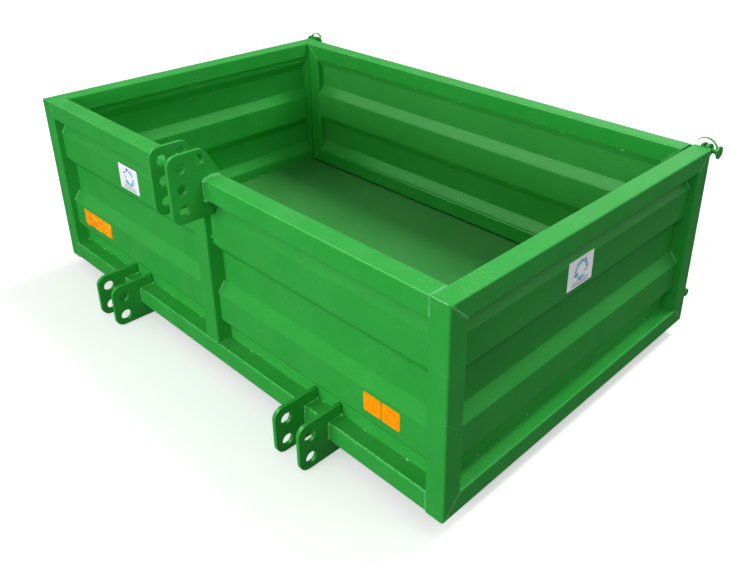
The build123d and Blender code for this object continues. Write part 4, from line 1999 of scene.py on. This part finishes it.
@dataclass(frozen=True)
class Studio:
    """Pale floor, soft light and the camera.

    Attributes:
        camera_place: where the camera stands.
        camera_right: unit vector to the right of its view.
        camera_up: unit vector up its view.
        camera_back: unit vector from its view backwards.
        lens: its focal length on a 36 mm wide sensor.
        shift: how far its view is moved sideways and up, as shares of its width.
        target: what the softboxes are aimed at.
        dome: the sky's light from low down and from above.
        mirrored: the same, as reflections see it.
        floor_reach: half width of the floor.
        floor_level: its height.
        floor_grey: its colour.
        floor_glow: how much light it gives of its own.
        panels: the bright parts of the mirrored sky.
        softboxes: the lamps.
    """

    camera_place: Vec3 = (1.4883, -1.32504, 1.2685)
    camera_right: Vec3 = (0.726255, 0.687367, 0.009025)
    camera_up: Vec3 = (-0.306425, 0.311954, 0.899326)
    camera_back: Vec3 = (0.615352, -0.655905, 0.437185)
    lens: float = 38.3194
    shift: Tuple[float, float] = (-0.05155, -0.101)
    target: Vec3 = (0.0, 0.0, 0.3)
    dome: Tuple[float, float] = (0.10, 0.40)
    mirrored: Tuple[float, float] = (0.09, 0.24)
    floor_reach: float = 40.0
    floor_level: float = -0.0005
    floor_grey: float = 0.92
    floor_glow: float = 0.45
    panels: Tuple[Panel, ...] = (
        Panel((-0.15, 0.955, 0.255), 0.80, 0.65),
        Panel((-0.40, -0.40, 0.825), 0.90, 8.5),
        Panel((0.46, 0.62, 0.635), 0.90, 1.4),
    )
    softboxes: Tuple[Softbox, ...] = (
        Softbox("rear_softbox", (1.4, 7.0, 12.3), (5.0, 5.0), 1380.0),
        Softbox("front_softbox", (0.25, -3.4, 0.95), (2.4, 1.1), 66.0),
        Softbox("side_softbox", (3.2, 0.8, 3.4), (1.6, 1.6), 15.0),
    )

    def build(self) -> None:
        """Makes the whole studio."""
        self.floor()
        self.sky()
        self.camera()
        for softbox in self.softboxes:
            softbox.build(self.target)

    def floor(self) -> None:
        """A wide pale floor just under the runners."""
        mesh = bpy.data.meshes.new("studio_floor")
        reach, level = self.floor_reach, self.floor_level
        mesh.from_pydata([(-reach, -reach, level), (reach, -reach, level), (reach, reach, level),
                          (-reach, reach, level)], [], [(0, 1, 2, 3)])
        material = bpy.data.materials.new("pale_floor")
        material.use_nodes = True
        shader = material.node_tree.nodes["Principled BSDF"]
        shader.inputs["Base Color"].default_value = opaque((self.floor_grey,) * 3)
        shader.inputs["Roughness"].default_value = 0.9
        shader.inputs["Specular IOR Level"].default_value = 0.0
        shader.inputs["Emission Color"].default_value = (1.0, 1.0, 1.0, 1.0)
        shader.inputs["Emission Strength"].default_value = self.floor_glow
        mesh.materials.append(material)
        floor = bpy.data.objects.new("studio_floor", mesh)
        bpy.context.scene.collection.objects.link(floor)
        floor.visible_glossy = False
        floor.visible_diffuse = False

    def sky(self) -> None:
        """Even light from above and less from below, with bright panels that reflections see.

        A panel's light grows with the dot product of the ray and the panel's direction.
        """
        world = bpy.data.worlds.new("studio_sky")
        world.use_nodes = True
        bpy.context.scene.world = world
        build = NodeBuilder(world.node_tree)
        back = world.node_tree.nodes["Background"]
        rays = build.add("ShaderNodeLightPath")
        way = build.add("ShaderNodeTexCoord").outputs["Generated"]
        parts = build.add("ShaderNodeSeparateXYZ")
        build.link(way, parts.inputs[0])
        dome = build.span(parts.outputs["Z"], -0.15, 0.5, *self.dome)
        glow = build.span(parts.outputs["Z"], -0.2, 0.5, *self.mirrored)
        for panel in self.panels:
            toward = build.add("ShaderNodeVectorMath", operation="DOT_PRODUCT")
            build.link(way, toward.inputs[0])
            toward.inputs[1].default_value = panel.way
            light = build.span(toward.outputs["Value"], panel.edge, panel.full, 0.0, panel.strength)
            glow = build.math("ADD", glow, light)
        seen = build.mix(rays.outputs["Is Glossy Ray"], dome, glow)
        tone = build.mix(rays.outputs["Is Camera Ray"], seen, (1.0, 1.0, 1.0, 1.0))
        build.link(tone, back.inputs["Color"])
        back.inputs["Strength"].default_value = 1.0

    def camera(self) -> None:
        """The camera, in front of the right-hand corner and above the rim."""
        data = bpy.data.cameras.new("camera")
        data.sensor_width = 36.0
        data.lens = self.lens
        data.shift_x, data.shift_y = self.shift
        data.clip_start = 0.01
        holder = bpy.data.objects.new("camera", data)
        bpy.context.scene.collection.objects.link(holder)
        rows = zip(self.camera_right, self.camera_up, self.camera_back, self.camera_place)
        holder.matrix_world = Matrix([list(row) for row in rows] + [[0, 0, 0, 1]])
        bpy.context.scene.camera = holder
        bpy.context.scene.view_settings.view_transform = "Standard"


def main() -> None:
    """Builds every sub-assembly and reports its pieces, then builds the studio."""
    sizes, finishes = TubeFrame.read(), Finishes()
    sub_assemblies = (
        *(SideFrame(sizes, finishes, side) for side in Side),
        FrontWall(sizes, finishes),
        FloorPan(sizes, finishes),
        Hitch(sizes, finishes),
        Tailgate(sizes, finishes),
        CornerFittings(sizes, finishes),
        Markings(finishes),
    )
    for sub_assembly in sub_assemblies:
        for piece in sub_assembly.build():
            log.info("%s: %s, %d faces", type(sub_assembly).__name__, piece.name,
                     len(piece.data.polygons))
    Studio().build()


if __name__ == "__main__":
    main()
